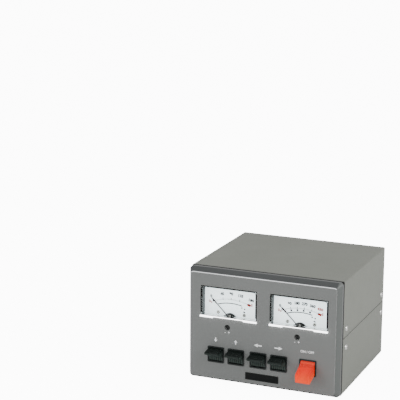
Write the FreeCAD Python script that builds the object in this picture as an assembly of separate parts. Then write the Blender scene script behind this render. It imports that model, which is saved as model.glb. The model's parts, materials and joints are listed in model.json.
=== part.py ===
import FreeCAD, Part
import math
import os

# Antenna rotator controller: a folded sheet-metal case with a moulded front frame,
# two dial meters, four spring paddles and a power paddle. Millimetres, +Z up.
# The pieces are drawn with y = 0 in the plane of the front face and -Y to the front.
# They are then moved so that the origin is on the surface the controller stands on,
# in the middle of the space it takes up.

V = FreeCAD.Vector
X_AXIS = V(1, 0, 0)
Y_AXIS = V(0, 1, 0)
Z_AXIS = V(0, 0, 1)

# Overall case
BODY_W = 200.0
BODY_H = 146.0
BODY_D = 193.0
FOOT_H = 5.0
SHEET = 1.2
FOLD_R = 2.0
SEAM_H = 0.5 * BODY_H
SEAM_GAP = 0.8
COVER_FRONT = 14.2

# Front frame and face plate
PLATE_T = 1.5
PLATE_INSET = 4.8
PLATE_R = 3.0
FRAME_SLOPE_Y = 8.0
FRAME_REAR_Y = 12.0
FRAME_R = 4.5
FRAME_WALL = 3.0
FRAME_LIP = 3.0
SPIGOT_T = 2.5
SPIGOT_END = 36.0
FIT = 0.1

# Inner tray, rear panel and side blocks
TRAY_FRONT = 15.0
TRAY_REAR_INSET = 1.2
TRAY_LAP = 19.0
PANEL_INSET = 1.2
BLOCK_W = 9.0
BLOCK_D = 12.0
BLOCK_END = 5.0

# Cover screws
SCREW_UP = 10.4
SCREW_DOWN = 13.8
SCREW_FRONT_Y = 28.2
SCREW_REAR_INSET = 10.0
SCREW_R = 1.5
SCREW_HEAD_R = 3.6
SCREW_HEAD_H = 2.2
SCREW_L = 8.0
BOSS_R = 4.5
BOSS_L = 5.0

# Feet
FOOT_R = 7.0
FOOT_INSET_X = 16.0
FOOT_FRONT_Y = 42.0
FOOT_REAR_INSET = 23.0
FOOT_TAPER = 0.8
FOOT_STEM_R = 1.4
FOOT_STEM_L = 3.2

# Dial meters, left and right
METER_X = (-0.223 * BODY_W, 0.2375 * BODY_W)
METER_Z = FOOT_H + 0.72 * BODY_H
WINDOW_W = 74.2
WINDOW_H = 37.6
WINDOW_R = 1.0
WINDOW_FIT = 0.15
PANE_PROUD = 2.0
PANE_T = 1.6
PANE_WALL = 1.2
PANE_DEPTH = PLATE_T + FRAME_WALL
SILL_H = 2.8
SILL_OVER = 0.6
SILL_NOTCH_W = 40.0
SILL_NOTCH_H = 1.3
CASE_WALL = 1.8
CASE_SIDE = 1.0
CASE_REAR_Y = 36.0
CASE_ABOVE = 8.0
CASE_BELOW = 9.6
CASE_DRUM_Y = 13.0
DRUM_R = 13.5
DIAL_Y = 10.5
DIAL_T = 0.8
DIAL_FIT = 0.2
DIAL_SCREW_DX = 17.5
DIAL_SCREW_DZ = -16.3
DIAL_SCREW_R = 1.0
DIAL_SCREW_HEAD_R = 2.1
DIAL_SCREW_HEAD_H = 0.9
DIAL_SCREW_L = 6.0
DIAL_POST_R = 3.0
PIVOT_DZ = -23.8
NEEDLE_REST = -45.6
NEEDLE_L = 37.1
NEEDLE_W = 0.7
NEEDLE_T = 0.5
NEEDLE_Y = 8.6
NEEDLE_TAIL = 2.6
HUB_R = 2.0
HUB_Y = 8.0
HUB_T = 2.0
ARBOR_R = 0.6
ARBOR_END = 30.0
ARBOR_FIT = 0.05
MOVEMENT_R = 11.0
MOVEMENT_Y = 14.0
HOOD_R = 8.6
HOOD_Y = 6.6
HOOD_T = 0.8
HOOD_POST_R = 1.0
HOOD_POST_DX = 6.2
HOOD_POST_DZ = -0.2
LAMP_R = 2.4
LAMP_L = 22.0
LAMP_Y = 16.0
LAMP_DZ = 22.6
STUD_R = 1.8
STUD_L = 7.0
STUD_DX = 20.0

# Paddle switches
SWITCH_X = (-0.304 * BODY_W, -0.169 * BODY_W, -0.0213 * BODY_W, 0.1145 * BODY_W)
POWER_X = 0.3035 * BODY_W
SWITCH_Z = FOOT_H + 0.2466 * BODY_H
SWITCH_NAMES = ("down", "up", "left", "right")
FLANGE_W = 21.8
FLANGE_H = 20.8
FLANGE_T = 1.2
FLANGE_R = 1.2
SWITCH_BODY_W = 20.4
SWITCH_BODY_H = 19.2
SWITCH_BODY_REAR = 25.0
CUTOUT_FIT = 0.1
CAVITY_W = 18.8
CAVITY_H = 17.6
CAVITY_REAR = 13.0
PADDLE_SIDE = 0.3
PIVOT_Y = 3.0
PIN_R = 1.2
PIN_FIT = 0.05
PIN_L = 0.6
TAB_W = 6.3
TAB_T = 0.8
TAB_L = 7.0
TAB_PITCH = 6.4
SPRING_Y = (-1.2, -15.6, -16.6, -15.4, -3.4, -1.2, -0.4, 0.2, 3.0, 5.6, 5.6, 3.0)
SPRING_Z = (8.4, 6.6, 5.0, 3.4, -1.4, -3.6, -7.4, -8.0, -8.5, -6.4, 6.4, 8.5)
SPRING_ARCS = (2, 5)
POWER_Y = (0.4, -3.0, -19.4, -21.0, -20.9, -20.2, -19.6, -18.2, -1.8, 0.6, 3.0, 5.6, 5.6, 3.0)
POWER_Z = (8.1, 4.4, -2.6, -4.4, -6.6, -12.2, -13.6, -13.6, -8.7, -8.0, -8.5, -6.4, 6.4, 8.5)
POWER_ARCS = (3, 6)
SCOOP_Y = (-4.6, -13.4, -19.6, -24.0, -24.0)
SCOOP_Z = (3.8, -4.2, -12.0, -12.0, 3.8)
SCOOP_ARCS = (1,)
RIB_Y = (-4.0, 0.5)
RIB_Z = (-9.0, -2.2)
RIB_COUNT = 6
RIB_W = 0.7
CHEEK_T = 1.7

# Front trimmers
TRIM_X = (-0.229 * BODY_W, 0.2305 * BODY_W)
TRIM_HOLE_R = 2.9
TRIM_BODY_R = 3.1
TRIM_GAP = 0.4
TRIM_Z = METER_Z - WINDOW_H / 2 - CASE_BELOW - TRIM_BODY_R - TRIM_GAP
TRIM_BODY_L = 6.0
TRIM_ROTOR_R = 2.4
TRIM_ROTOR_Y = 1.6
TRIM_STEM_R = 1.3
TRIM_STEM_L = 4.0
TRIM_SLOT_W = 0.7
TRIM_SLOT_D = 1.0

# Badge plate
BADGE_X = 0.9
BADGE_Z = FOOT_H + 13.9
BADGE_W = 43.6
BADGE_H = 9.3
BADGE_T = 0.6

# Terminal strips on the rear panel
STRIP_X = (-0.235 * BODY_W, 0.235 * BODY_W)
STRIP_Z = FOOT_H + 0.4 * BODY_H
STRIP_WAYS = 6
STRIP_PITCH = 10.5
STRIP_H = 24.0
STRIP_BASE_T = 7.0
STRIP_RIB_T = 2.0
STRIP_RIB_D = 7.0
STRIP_SCREW_R = 1.6
STRIP_SCREW_HEAD_R = 3.2
STRIP_SCREW_HEAD_H = 2.0
STRIP_SCREW_L = 4.5

# Round accessory socket
SOCKET_X = 0.0
SOCKET_Z = FOOT_H + 0.75 * BODY_H
SOCKET_SHELL_R = 8.5
SOCKET_BORE_R = 6.7
SOCKET_BORE_D = 9.0
SOCKET_L = 13.0
SOCKET_FLANGE_W = 27.0
SOCKET_FLANGE_H = 20.0
SOCKET_FLANGE_T = 1.2
SOCKET_PINS = 8
SOCKET_PIN_R = 0.5
SOCKET_PIN_RING = 3.5
SOCKET_PIN_L = 4.2

# Rear adjusters
ADJUST_X = (-0.33 * BODY_W, -0.22 * BODY_W, 0.22 * BODY_W, 0.33 * BODY_W)
ADJUST_Z = FOOT_H + 0.75 * BODY_H
ADJUST_BODY = 11.0
ADJUST_BODY_L = 7.0
ADJUST_HOLE_R = 3.6
ADJUST_ROTOR_R = 3.0
ADJUST_PROUD = 1.5
ADJUST_STEM_R = 1.6
ADJUST_STEM_L = 5.0
ADJUST_SLOT_W = 0.9
ADJUST_SLOT_D = 1.2

# Fuse holder and cord gland
FUSE_X = 0.21 * BODY_W
FUSE_Z = FOOT_H + 0.145 * BODY_H
FUSE_BODY_R = 7.0
FUSE_BODY_L = 38.0
FUSE_FLANGE_R = 8.5
FUSE_FLANGE_T = 2.0
FUSE_BORE_R = 5.2
FUSE_CAP_FIT = 0.06
FUSE_NECK_L = 10.0
FUSE_CAP_R = 6.8
FUSE_CAP_T = 8.0
FUSE_R = 3.0
FUSE_L = 20.0
FUSE_GRIP_D = 5.0
FUSE_WALL = 2.0
GLAND_X = 0.38 * BODY_W
GLAND_Z = FOOT_H + 0.145 * BODY_H
GLAND_HOLE_R = 6.2
GLAND_FLANGE_R = 8.4
GLAND_FLANGE_T = 3.0
GLAND_BORE_R = 3.6
GLAND_L = 12.0

# Transformer
CORE_X = 0.23 * BODY_W
CORE_GAP = 0.8
CORE_W = 66.0
CORE_D = 34.0
CORE_H = 56.0
LEG_W = 22.0
WINDOW_GAP_W = 11.0
WINDOW_GAP_H = 34.0
COIL_FIT = 0.3
COIL_OVERHANG = 10.0
STRAP_T = 1.5
STRAP_D = 20.0
STRAP_FOOT = 10.0
STRAP_SCREW_R = 2.0
STRAP_SCREW_HEAD_R = 4.0
STRAP_SCREW_HEAD_H = 2.4

# Circuit board and what stands on it
BOARD_SIDE_GAP = 5.6
BOARD_MID_GAP = 0.04 * BODY_W
BOARD_REAR_GAP = 25.0
BOARD_D = 106.0
BOARD_T = 1.6
STANDOFF_H = 8.0
STANDOFF_R = 3.0
STANDOFF_INSET = 6.0
RELAY_W = 16.0
RELAY_D = 20.0
RELAY_H = 18.0
RELAY_COUNT = 4
RELAY_PITCH = 19.0
RELAY_IN_X = 14.0
RELAY_IN_Y = 22.0
FILTER_R = 11.0
FILTER_H = 32.0
FILTER_IN_X = 42.0
FILTER_IN_Y = (20.0, 46.0)

# Motor capacitors
CAN_R = 16.0
CAN_H = 52.0
CAN_X = (0.11 * BODY_W, 0.31 * BODY_W)
CAN_GAP = 13.0
CAN_LUG_R = 2.5
CAN_LUG_H = 4.0
CAN_LUG_DX = 6.0

# Levels worked out from the sizes above
HALF_W = BODY_W / 2
BODY_Z0 = FOOT_H
BODY_Z1 = FOOT_H + BODY_H
SEAM_Z = FOOT_H + SEAM_H
TRAY_X = HALF_W - SHEET
TRAY_IN = TRAY_X - SHEET
FLOOR_Z = BODY_Z0 + 2 * SHEET
ROOF_Z = BODY_Z1 - SHEET
TRAY_REAR = BODY_D - PANEL_INSET - TRAY_REAR_INSET
PANEL_Y = TRAY_REAR
REAR_Y = PANEL_Y + SHEET
WALL_BACK = PLATE_T + FRAME_WALL
PIVOT_Z = METER_Z + PIVOT_DZ
SCREW_REAR_Y = BODY_D - SCREW_REAR_INSET
FOOT_REAR_Y = BODY_D - FOOT_REAR_INSET
REAR_MOST = REAR_Y + STRIP_BASE_T + STRIP_RIB_D
CORE_Y = REAR_Y + FUSE_FLANGE_T - FUSE_BODY_L - CORE_GAP - COIL_OVERHANG - CORE_D / 2
CAN_Y = CORE_Y - CORE_D / 2 - COIL_OVERHANG - CAN_GAP - CAN_R
BOARD_X0 = -TRAY_IN + BOARD_SIDE_GAP
BOARD_X1 = -BOARD_MID_GAP
BOARD_Y1 = BODY_D - BOARD_REAR_GAP
BOARD_Y0 = BOARD_Y1 - BOARD_D
RELAY_X = BOARD_X0 + RELAY_IN_X
RELAY_Y = BOARD_Y0 + RELAY_IN_Y
FILTER_X = BOARD_X0 + FILTER_IN_X


def box(x0, x1, y0, y1, z0, z1):
    """Block between two corners."""
    return Part.makeBox(x1 - x0, y1 - y0, z1 - z0, V(x0, y0, z0))


def rod_y(x, z, r, y0, y1):
    """Round bar along Y."""
    return Part.makeCylinder(r, y1 - y0, V(x, y0, z), Y_AXIS)


def rod_z(x, y, r, z0, z1):
    """Round bar along Z."""
    return Part.makeCylinder(r, z1 - z0, V(x, y, z0), Z_AXIS)


def rod_x(y, z, r, x0, x1):
    """Round bar along X."""
    return Part.makeCylinder(r, x1 - x0, V(x0, y, z), X_AXIS)


def rounded_wire(x0, x1, z0, z1, r, y):
    """Rectangle with rounded corners in the plane at y."""
    centres = ((x1 - r, z1 - r, 0), (x0 + r, z1 - r, 90), (x0 + r, z0 + r, 180), (x1 - r, z0 + r, 270))
    arcs = []
    for cx, cz, start in centres:
        turns = [math.radians(start + step) for step in (0, 45, 90)]
        arcs.append([V(cx + r * math.cos(a), y, cz + r * math.sin(a)) for a in turns])
    edges = []
    for i, points in enumerate(arcs):
        edges.append(Part.Arc(*points).toShape())
        edges.append(Part.makeLine(points[2], arcs[(i + 1) % 4][0]))
    return Part.Wire(edges)


def rounded_block(x0, x1, z0, z1, r, y0, y1):
    """Rounded rectangle drawn out along Y."""
    return Part.Face(rounded_wire(x0, x1, z0, z1, r, y0)).extrude(V(0, y1 - y0, 0))


def side_profile(ys, zs, arcs, lift, x0, x1):
    """Outline in the YZ plane drawn out along X. A point listed in arcs is the middle of an arc."""
    points = [V(x0, y, z + lift) for y, z in zip(ys, zs)]
    edges = []
    here = points[0]
    for i in range(1, len(points)):
        if i in arcs:
            continue
        if i - 1 in arcs:
            edges.append(Part.Arc(here, points[i - 1], points[i]).toShape())
        else:
            edges.append(Part.makeLine(here, points[i]))
        here = points[i]
    edges.append(Part.makeLine(here, points[0]))
    return Part.Face(Part.Wire(edges)).extrude(V(x1 - x0, 0, 0))


def group(shapes):
    """Separate solids kept in one node."""
    return Part.makeCompound(shapes)


def save(name, shape):
    """Write one node, moved so that the origin is under the middle of the whole."""
    shape.translate(V(0, -middle_y(), 0))
    shape.exportStep("parts/" + name + ".step")


def cover_screw_places():
    """Every cover screw: side, y and z."""
    places = []
    for side in (-1, 1):
        for y in (SCREW_FRONT_Y, SCREW_REAR_Y):
            for dz in (SCREW_UP, -SCREW_DOWN):
                places.append((side, y, SEAM_Z + dz))
    return places


def screw_drills(depth):
    """Bars where the cover screws pass, from outside the case inwards."""
    drills = []
    for side, y, z in cover_screw_places():
        near = side * HALF_W + side
        far = side * (HALF_W - depth)
        drills.append(rod_x(y, z, SCREW_R, min(near, far), max(near, far)))
    return drills


def case_shell():
    """Folded sheet all round, before it is split at the seam."""
    outer = rounded_block(-HALF_W, HALF_W, BODY_Z0, BODY_Z1, FOLD_R, COVER_FRONT, BODY_D)
    inner = rounded_block(-TRAY_X, TRAY_X, BODY_Z0 + SHEET, ROOF_Z, FOLD_R - SHEET, COVER_FRONT, BODY_D)
    return outer.cut(inner).cut(screw_drills(2 * SHEET))


def upper_cover():
    """Top and the upper half of both sides."""
    keep = box(-HALF_W, HALF_W, 0, BODY_D, SEAM_Z + SEAM_GAP / 2, BODY_Z1)
    return case_shell().common(keep)


def foot_places():
    """Centres of the four feet."""
    x = HALF_W - FOOT_INSET_X
    return [(sx * x, y) for sx in (-1, 1) for y in (FOOT_FRONT_Y, FOOT_REAR_Y)]


def foot_drills():
    """Bars where the stems of the feet pass."""
    return [rod_z(x, y, FOOT_STEM_R + FIT, 0, FLOOR_Z + 1) for x, y in foot_places()]


def lower_cover():
    """Bottom and the lower half of both sides."""
    keep = box(-HALF_W, HALF_W, 0, BODY_D, BODY_Z0, SEAM_Z - SEAM_GAP / 2)
    return case_shell().common(keep).cut(foot_drills())


def strap_foot_x():
    """Distance of the transformer strap's screws from its middle."""
    return CORE_W / 2 + STRAP_T + STRAP_FOOT / 2


def standoff_places():
    """Centres of the board's standoffs."""
    xs = (BOARD_X0 + STANDOFF_INSET, BOARD_X1 - STANDOFF_INSET)
    ys = (BOARD_Y0 + STANDOFF_INSET, BOARD_Y1 - STANDOFF_INSET)
    return [(x, y) for x in xs for y in ys]


def chassis_tray():
    """Inner U of sheet: a floor and two walls that carry both covers."""
    outer_r = FOLD_R - SHEET
    outer = rounded_block(-TRAY_X, TRAY_X, BODY_Z0 + SHEET, ROOF_Z, outer_r, TRAY_FRONT, TRAY_REAR)
    inner = box(-TRAY_IN, TRAY_IN, 0, BODY_D, FLOOR_Z, BODY_Z1)
    keep = box(-HALF_W, HALF_W, 0, BODY_D, 0, SEAM_Z + TRAY_LAP)
    tray = outer.cut(inner).common(keep).cut(screw_drills(2 * SHEET + 1)).cut(foot_drills())
    holes = [rod_z(CORE_X + s * strap_foot_x(), CORE_Y, STRAP_SCREW_R, 0, FLOOR_Z + 1) for s in (-1, 1)]
    return tray.cut(holes)


def front_cutouts(y0, y1):
    """Everything that the front plate and the wall behind it are pierced for."""
    tools = []
    for x in METER_X:
        tools.append(rounded_block(x - WINDOW_W / 2, x + WINDOW_W / 2, METER_Z - WINDOW_H / 2,
                                   METER_Z + WINDOW_H / 2, WINDOW_R, y0, y1))
    half_w = SWITCH_BODY_W / 2 + CUTOUT_FIT
    half_h = SWITCH_BODY_H / 2 + CUTOUT_FIT
    for x in SWITCH_X + (POWER_X,):
        tools.append(box(x - half_w, x + half_w, y0, y1, SWITCH_Z - half_h, SWITCH_Z + half_h))
    for x in TRIM_X:
        tools.append(rod_y(x, TRIM_Z, TRIM_HOLE_R, y0, y1))
    return tools


def face_plate():
    """Thin printed plate on the front of the frame."""
    x = HALF_W - PLATE_INSET
    z0 = BODY_Z0 + PLATE_INSET
    z1 = BODY_Z1 - PLATE_INSET
    return rounded_block(-x, x, z0, z1, PLATE_R, 0, PLATE_T).cut(front_cutouts(-1, PLATE_T + 1))


def front_wall():
    """Flat wall behind the face plate that carries the meters, switches and trimmers."""
    x = HALF_W - PLATE_INSET - FRAME_LIP
    z0 = BODY_Z0 + PLATE_INSET + FRAME_LIP
    z1 = BODY_Z1 - PLATE_INSET - FRAME_LIP
    return box(-x, x, PLATE_T, WALL_BACK, z0, z1).cut(front_cutouts(0, WALL_BACK + 1))


def front_frame():
    """Moulded frame: sloped rim round the face plate, and a spigot inside the covers."""
    x = HALF_W - PLATE_INSET
    z0 = BODY_Z0 + PLATE_INSET
    z1 = BODY_Z1 - PLATE_INSET
    small = rounded_wire(-x, x, z0, z1, PLATE_R, PLATE_T)
    large = rounded_wire(-HALF_W, HALF_W, BODY_Z0, BODY_Z1, FRAME_R, FRAME_SLOPE_Y)
    slope = Part.makeLoft([small, large], True, True)
    rim = rounded_block(-HALF_W, HALF_W, BODY_Z0, BODY_Z1, FRAME_R, FRAME_SLOPE_Y, FRAME_REAR_Y)
    spigot = rounded_block(-TRAY_IN, TRAY_IN, FLOOR_Z, ROOF_Z - FIT, FOLD_R, FRAME_REAR_Y, SPIGOT_END)
    seat = box(-x + FRAME_LIP, x - FRAME_LIP, 0, WALL_BACK, z0 + FRAME_LIP, z1 - FRAME_LIP)
    hollow = box(-TRAY_IN + SPIGOT_T, TRAY_IN - SPIGOT_T, WALL_BACK, SPIGOT_END + 1,
                 FLOOR_Z + SPIGOT_T, ROOF_Z - FIT - SPIGOT_T)
    frame = slope.fuse([rim, spigot]).cut([seat, hollow])
    for side, y, z in cover_screw_places():
        if y == SCREW_FRONT_Y:
            a = side * TRAY_IN
            b = side * (TRAY_IN - BOSS_L)
            frame = frame.fuse(rod_x(y, z, BOSS_R, min(a, b), max(a, b)))
    return frame.cut(screw_drills(SCREW_L)).removeSplitter()


def pan_screw():
    """Pan-head screw with a cross recess. Its head sits on y = 0 and points to +Y."""
    shank = rod_y(0, 0, SCREW_R, -SCREW_L, 0)
    ball_r = (SCREW_HEAD_R ** 2 + SCREW_HEAD_H ** 2) / (2 * SCREW_HEAD_H)
    ball = Part.makeSphere(ball_r, V(0, SCREW_HEAD_H - ball_r, 0))
    head = ball.common(rod_y(0, 0, SCREW_HEAD_R, 0, SCREW_HEAD_H))
    deep = 0.55 * SCREW_HEAD_H
    arm = 0.55 * SCREW_HEAD_R
    thin = 0.14 * SCREW_HEAD_R
    top = SCREW_HEAD_H + 1
    cross = [box(-arm, arm, deep, top, -thin, thin), box(-thin, thin, deep, top, -arm, arm)]
    return head.fuse(shank).cut(cross)


def cover_screw(side, y, z):
    """Screw driven in from the side of the case."""
    screw = pan_screw()
    screw.rotate(V(0, 0, 0), Z_AXIS, -90 * side)
    screw.translate(V(side * HALF_W, y, z))
    return screw


def block_screw_place():
    """Distance from the middle, and level, of the screws that hold the rear panel to its side blocks."""
    return TRAY_IN - BLOCK_W / 2, SEAM_Z + (SCREW_UP - SCREW_DOWN) / 2


def panel_screw(side):
    """Screw through the rear panel into a side block."""
    x, z = block_screw_place()
    screw = pan_screw()
    screw.translate(V(side * x, REAR_Y, z))
    return screw


def side_block(side):
    """Tapped block in a rear corner, held by the two rear cover screws of its side."""
    a = side * TRAY_IN
    b = side * (TRAY_IN - BLOCK_W)
    block = box(min(a, b), max(a, b), PANEL_Y - BLOCK_D, PANEL_Y,
                SEAM_Z - SCREW_DOWN - BLOCK_END, SEAM_Z + SCREW_UP + BLOCK_END)
    x, z = block_screw_place()
    return block.cut(screw_drills(SCREW_L)).cut(rod_y(side * x, z, SCREW_R, REAR_Y - SCREW_L, REAR_Y))


def foot(x, y):
    """Rubber foot with a stem that is pushed up through the case floor."""
    pad = Part.makeCone(FOOT_R - FOOT_TAPER, FOOT_R, FOOT_H, V(x, y, 0), Z_AXIS)
    return pad.fuse(rod_z(x, y, FOOT_STEM_R, 0, FOOT_H + FOOT_STEM_L))


def rear_holes(y0, y1):
    """Everything that the rear panel is pierced for."""
    tools = [rod_y(x, ADJUST_Z, ADJUST_HOLE_R, y0, y1) for x in ADJUST_X]
    tools.append(rod_y(SOCKET_X, SOCKET_Z, SOCKET_SHELL_R, y0, y1))
    tools.append(rod_y(FUSE_X, FUSE_Z, FUSE_BODY_R, y0, y1))
    tools.append(rod_y(GLAND_X, GLAND_Z, GLAND_HOLE_R, y0, y1))
    x, z = block_screw_place()
    return tools + [rod_y(side * x, z, SCREW_R, y0, y1) for side in (-1, 1)]


def rear_panel():
    """Flat rear sheet, screwed to the side blocks."""
    return box(-TRAY_IN, TRAY_IN, PANEL_Y, REAR_Y, FLOOR_Z, ROOF_Z).cut(rear_holes(PANEL_Y - 1, REAR_Y + 1))


def meter_case(x):
    """Moulded meter housing behind the front wall, with a drum below for the movement."""
    half = WINDOW_W / 2 + CASE_SIDE
    z0 = METER_Z - WINDOW_H / 2 - CASE_BELOW
    z1 = METER_Z + WINDOW_H / 2 + CASE_ABOVE
    w = CASE_WALL
    shell = box(x - half, x + half, WALL_BACK, CASE_REAR_Y, z0, z1)
    shell = shell.fuse(rod_y(x, PIVOT_Z, DRUM_R, CASE_DRUM_Y, CASE_REAR_Y))
    room = box(x - half + w, x + half - w, WALL_BACK - 1, CASE_REAR_Y - w, z0 + w, z1 - w)
    room = room.fuse(rod_y(x, PIVOT_Z, DRUM_R - w, CASE_DRUM_Y + w, CASE_REAR_Y - w))
    shell = shell.cut(room)
    for side in (-1, 1):
        sx = x + side * DIAL_SCREW_DX
        shell = shell.fuse(rod_y(sx, METER_Z + DIAL_SCREW_DZ, DIAL_POST_R, DIAL_Y + DIAL_T, CASE_REAR_Y - w))
        shell = shell.cut(rod_y(sx, METER_Z + DIAL_SCREW_DZ, DIAL_SCREW_R, DIAL_Y, DIAL_Y + DIAL_SCREW_L))
        shell = shell.fuse(rod_y(x + side * STUD_DX, METER_Z, STUD_R, CASE_REAR_Y, CASE_REAR_Y + STUD_L))
    return shell


def meter_window(x):
    """Clear cover through the opening, with a notched sill under it on the face."""
    half_w = WINDOW_W / 2 - WINDOW_FIT
    z0 = METER_Z - WINDOW_H / 2 + WINDOW_FIT
    z1 = METER_Z + WINDOW_H / 2 - WINDOW_FIT
    solid = rounded_block(x - half_w, x + half_w, z0, z1, WINDOW_R, -PANE_PROUD, PANE_DEPTH)
    room = box(x - half_w + PANE_WALL, x + half_w - PANE_WALL, PANE_T - PANE_PROUD, PANE_DEPTH + 1,
               z0 + PANE_WALL, z1 - PANE_WALL)
    sill_half = WINDOW_W / 2 + SILL_OVER
    sill_z1 = METER_Z - WINDOW_H / 2 + WINDOW_FIT
    sill = box(x - sill_half, x + sill_half, -PANE_PROUD, 0, sill_z1 - SILL_H, sill_z1 + PANE_WALL)
    notch = box(x - SILL_NOTCH_W / 2, x + SILL_NOTCH_W / 2, -PANE_PROUD - 1, 1,
                sill_z1 - SILL_H - 1, sill_z1 - SILL_H + SILL_NOTCH_H)
    return solid.cut(room).fuse(sill.cut(notch)).removeSplitter()


def meter_dial(x):
    """Flat white plate with the scale, held by two screws."""
    half = WINDOW_W / 2 + CASE_SIDE - CASE_WALL - DIAL_FIT
    z0 = METER_Z - WINDOW_H / 2 - CASE_BELOW + CASE_WALL + DIAL_FIT
    z1 = METER_Z + WINDOW_H / 2 + CASE_ABOVE - CASE_WALL - DIAL_FIT
    plate = box(x - half, x + half, DIAL_Y, DIAL_Y + DIAL_T, z0, z1)
    holes = [rod_y(x, PIVOT_Z, 2 * ARBOR_R, DIAL_Y - 1, DIAL_Y + DIAL_T + 1)]
    for side in (-1, 1):
        holes.append(rod_y(x + side * DIAL_SCREW_DX, METER_Z + DIAL_SCREW_DZ, DIAL_SCREW_R,
                           DIAL_Y - 1, DIAL_Y + DIAL_T + 1))
    return plate.cut(holes)


def dial_screw(x, side):
    """Small screw that holds the dial on its post."""
    sx = x + side * DIAL_SCREW_DX
    z = METER_Z + DIAL_SCREW_DZ
    head = rod_y(sx, z, DIAL_SCREW_HEAD_R, DIAL_Y - DIAL_SCREW_HEAD_H, DIAL_Y)
    slot = box(sx - DIAL_SCREW_HEAD_R, sx + DIAL_SCREW_HEAD_R, DIAL_Y - DIAL_SCREW_HEAD_H - 1,
               DIAL_Y - 0.5 * DIAL_SCREW_HEAD_H, z - 0.25, z + 0.25)
    return head.cut(slot).fuse(rod_y(sx, z, DIAL_SCREW_R, DIAL_Y, DIAL_Y + DIAL_SCREW_L))


def meter_movement(x):
    """Magnet and coil drum that the needle's arbor turns in."""
    rear = CASE_REAR_Y - CASE_WALL
    drum = rod_y(x, PIVOT_Z, MOVEMENT_R, MOVEMENT_Y + 1, rear)
    return drum.cut(rod_y(x, PIVOT_Z, ARBOR_R + ARBOR_FIT, MOVEMENT_Y, ARBOR_END + 1))


def meter_hood(x):
    """Black disc in front of the needle's hub, on two posts."""
    disc = rod_y(x, PIVOT_Z, HOOD_R, HOOD_Y, HOOD_Y + HOOD_T)
    cut_z = PIVOT_Z + HOOD_POST_DZ - HOOD_POST_R
    disc = disc.common(box(x - HOOD_R, x + HOOD_R, 0, DIAL_Y, cut_z, PIVOT_Z + HOOD_R))
    for side in (-1, 1):
        disc = disc.fuse(rod_y(x + side * HOOD_POST_DX, PIVOT_Z + HOOD_POST_DZ, HOOD_POST_R, HOOD_Y, DIAL_Y))
    return disc


def meter_needle(x):
    """Pointer, hub and arbor, at the left end of the scale."""
    hub = rod_y(x, PIVOT_Z, HUB_R, HUB_Y, HUB_Y + HUB_T)
    arbor = rod_y(x, PIVOT_Z, ARBOR_R, HUB_Y, ARBOR_END)
    blade = box(x - NEEDLE_W / 2, x + NEEDLE_W / 2, NEEDLE_Y, NEEDLE_Y + NEEDLE_T,
                PIVOT_Z - NEEDLE_TAIL, PIVOT_Z + NEEDLE_L)
    needle = blade.fuse([hub, arbor])
    needle.rotate(V(x, 0, PIVOT_Z), Y_AXIS, NEEDLE_REST)
    return needle


def meter_lamp(x):
    """Tubular lamp above the window, in two end clips."""
    z = METER_Z + LAMP_DZ
    glass = rod_x(LAMP_Y, z, LAMP_R, x - LAMP_L / 2, x + LAMP_L / 2)
    rear = CASE_REAR_Y - CASE_WALL
    clips = [box(x + s * LAMP_L / 2 - 1, x + s * LAMP_L / 2 + 1, LAMP_Y - LAMP_R, rear,
                 z - LAMP_R, z + LAMP_R) for s in (-1, 1)]
    return glass.fuse(clips)


def switch_body(x):
    """Snap-in housing with a flange on the face and three tabs behind."""
    z = SWITCH_Z
    flange = rounded_block(x - FLANGE_W / 2, x + FLANGE_W / 2, z - FLANGE_H / 2, z + FLANGE_H / 2,
                           FLANGE_R, -FLANGE_T, 0)
    shell = box(x - SWITCH_BODY_W / 2, x + SWITCH_BODY_W / 2, 0, SWITCH_BODY_REAR,
                z - SWITCH_BODY_H / 2, z + SWITCH_BODY_H / 2)
    room = box(x - CAVITY_W / 2, x + CAVITY_W / 2, -FLANGE_T - 1, CAVITY_REAR,
               z - CAVITY_H / 2, z + CAVITY_H / 2)
    bores = rod_x(PIVOT_Y, z, PIN_R + PIN_FIT, x - SWITCH_BODY_W / 2 - 1, x + SWITCH_BODY_W / 2 + 1)
    body = flange.fuse(shell).cut([room, bores])
    tabs = []
    for i in (-1, 0, 1):
        tz = z + i * TAB_PITCH
        tabs.append(box(x - TAB_W / 2, x + TAB_W / 2, SWITCH_BODY_REAR, SWITCH_BODY_REAR + TAB_L,
                        tz - TAB_T / 2, tz + TAB_T / 2))
    return body.fuse(tabs)


def with_pins(paddle, x, half):
    """Paddle with its two pivot pins, which turn in the housing's sides."""
    reach = half + PADDLE_SIDE + PIN_L
    return paddle.fuse(rod_x(PIVOT_Y, SWITCH_Z, PIN_R, x - reach, x + reach))


def spring_paddle(x):
    """Duck-bill paddle of a momentary switch, with fine ribs on its lower face."""
    half = CAVITY_W / 2 - PADDLE_SIDE
    paddle = side_profile(SPRING_Y, SPRING_Z, SPRING_ARCS, SWITCH_Z, x - half, x + half)
    step = 2 * half / (RIB_COUNT + 1)
    grooves = []
    z0 = SWITCH_Z + RIB_Z[0]
    z1 = SWITCH_Z + RIB_Z[1]
    for i in range(RIB_COUNT):
        gx = x - half + (i + 1) * step
        grooves.append(box(gx - RIB_W / 2, gx + RIB_W / 2, RIB_Y[0], RIB_Y[1], z0, z1))
    return with_pins(paddle.cut(grooves), x, half)


def power_paddle(x):
    """Scooped paddle of the power switch, shown tipped down."""
    half = CAVITY_W / 2 - PADDLE_SIDE
    paddle = side_profile(POWER_Y, POWER_Z, POWER_ARCS, SWITCH_Z, x - half, x + half)
    inner = half - CHEEK_T
    paddle = paddle.cut(side_profile(SCOOP_Y, SCOOP_Z, SCOOP_ARCS, SWITCH_Z, x - inner, x + inner))
    return with_pins(paddle, x, half)


def middle_y():
    """Half way between the front of the power paddle and the back of the terminal strips."""
    return (power_paddle(POWER_X).BoundBox.YMin + REAR_MOST) / 2


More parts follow.
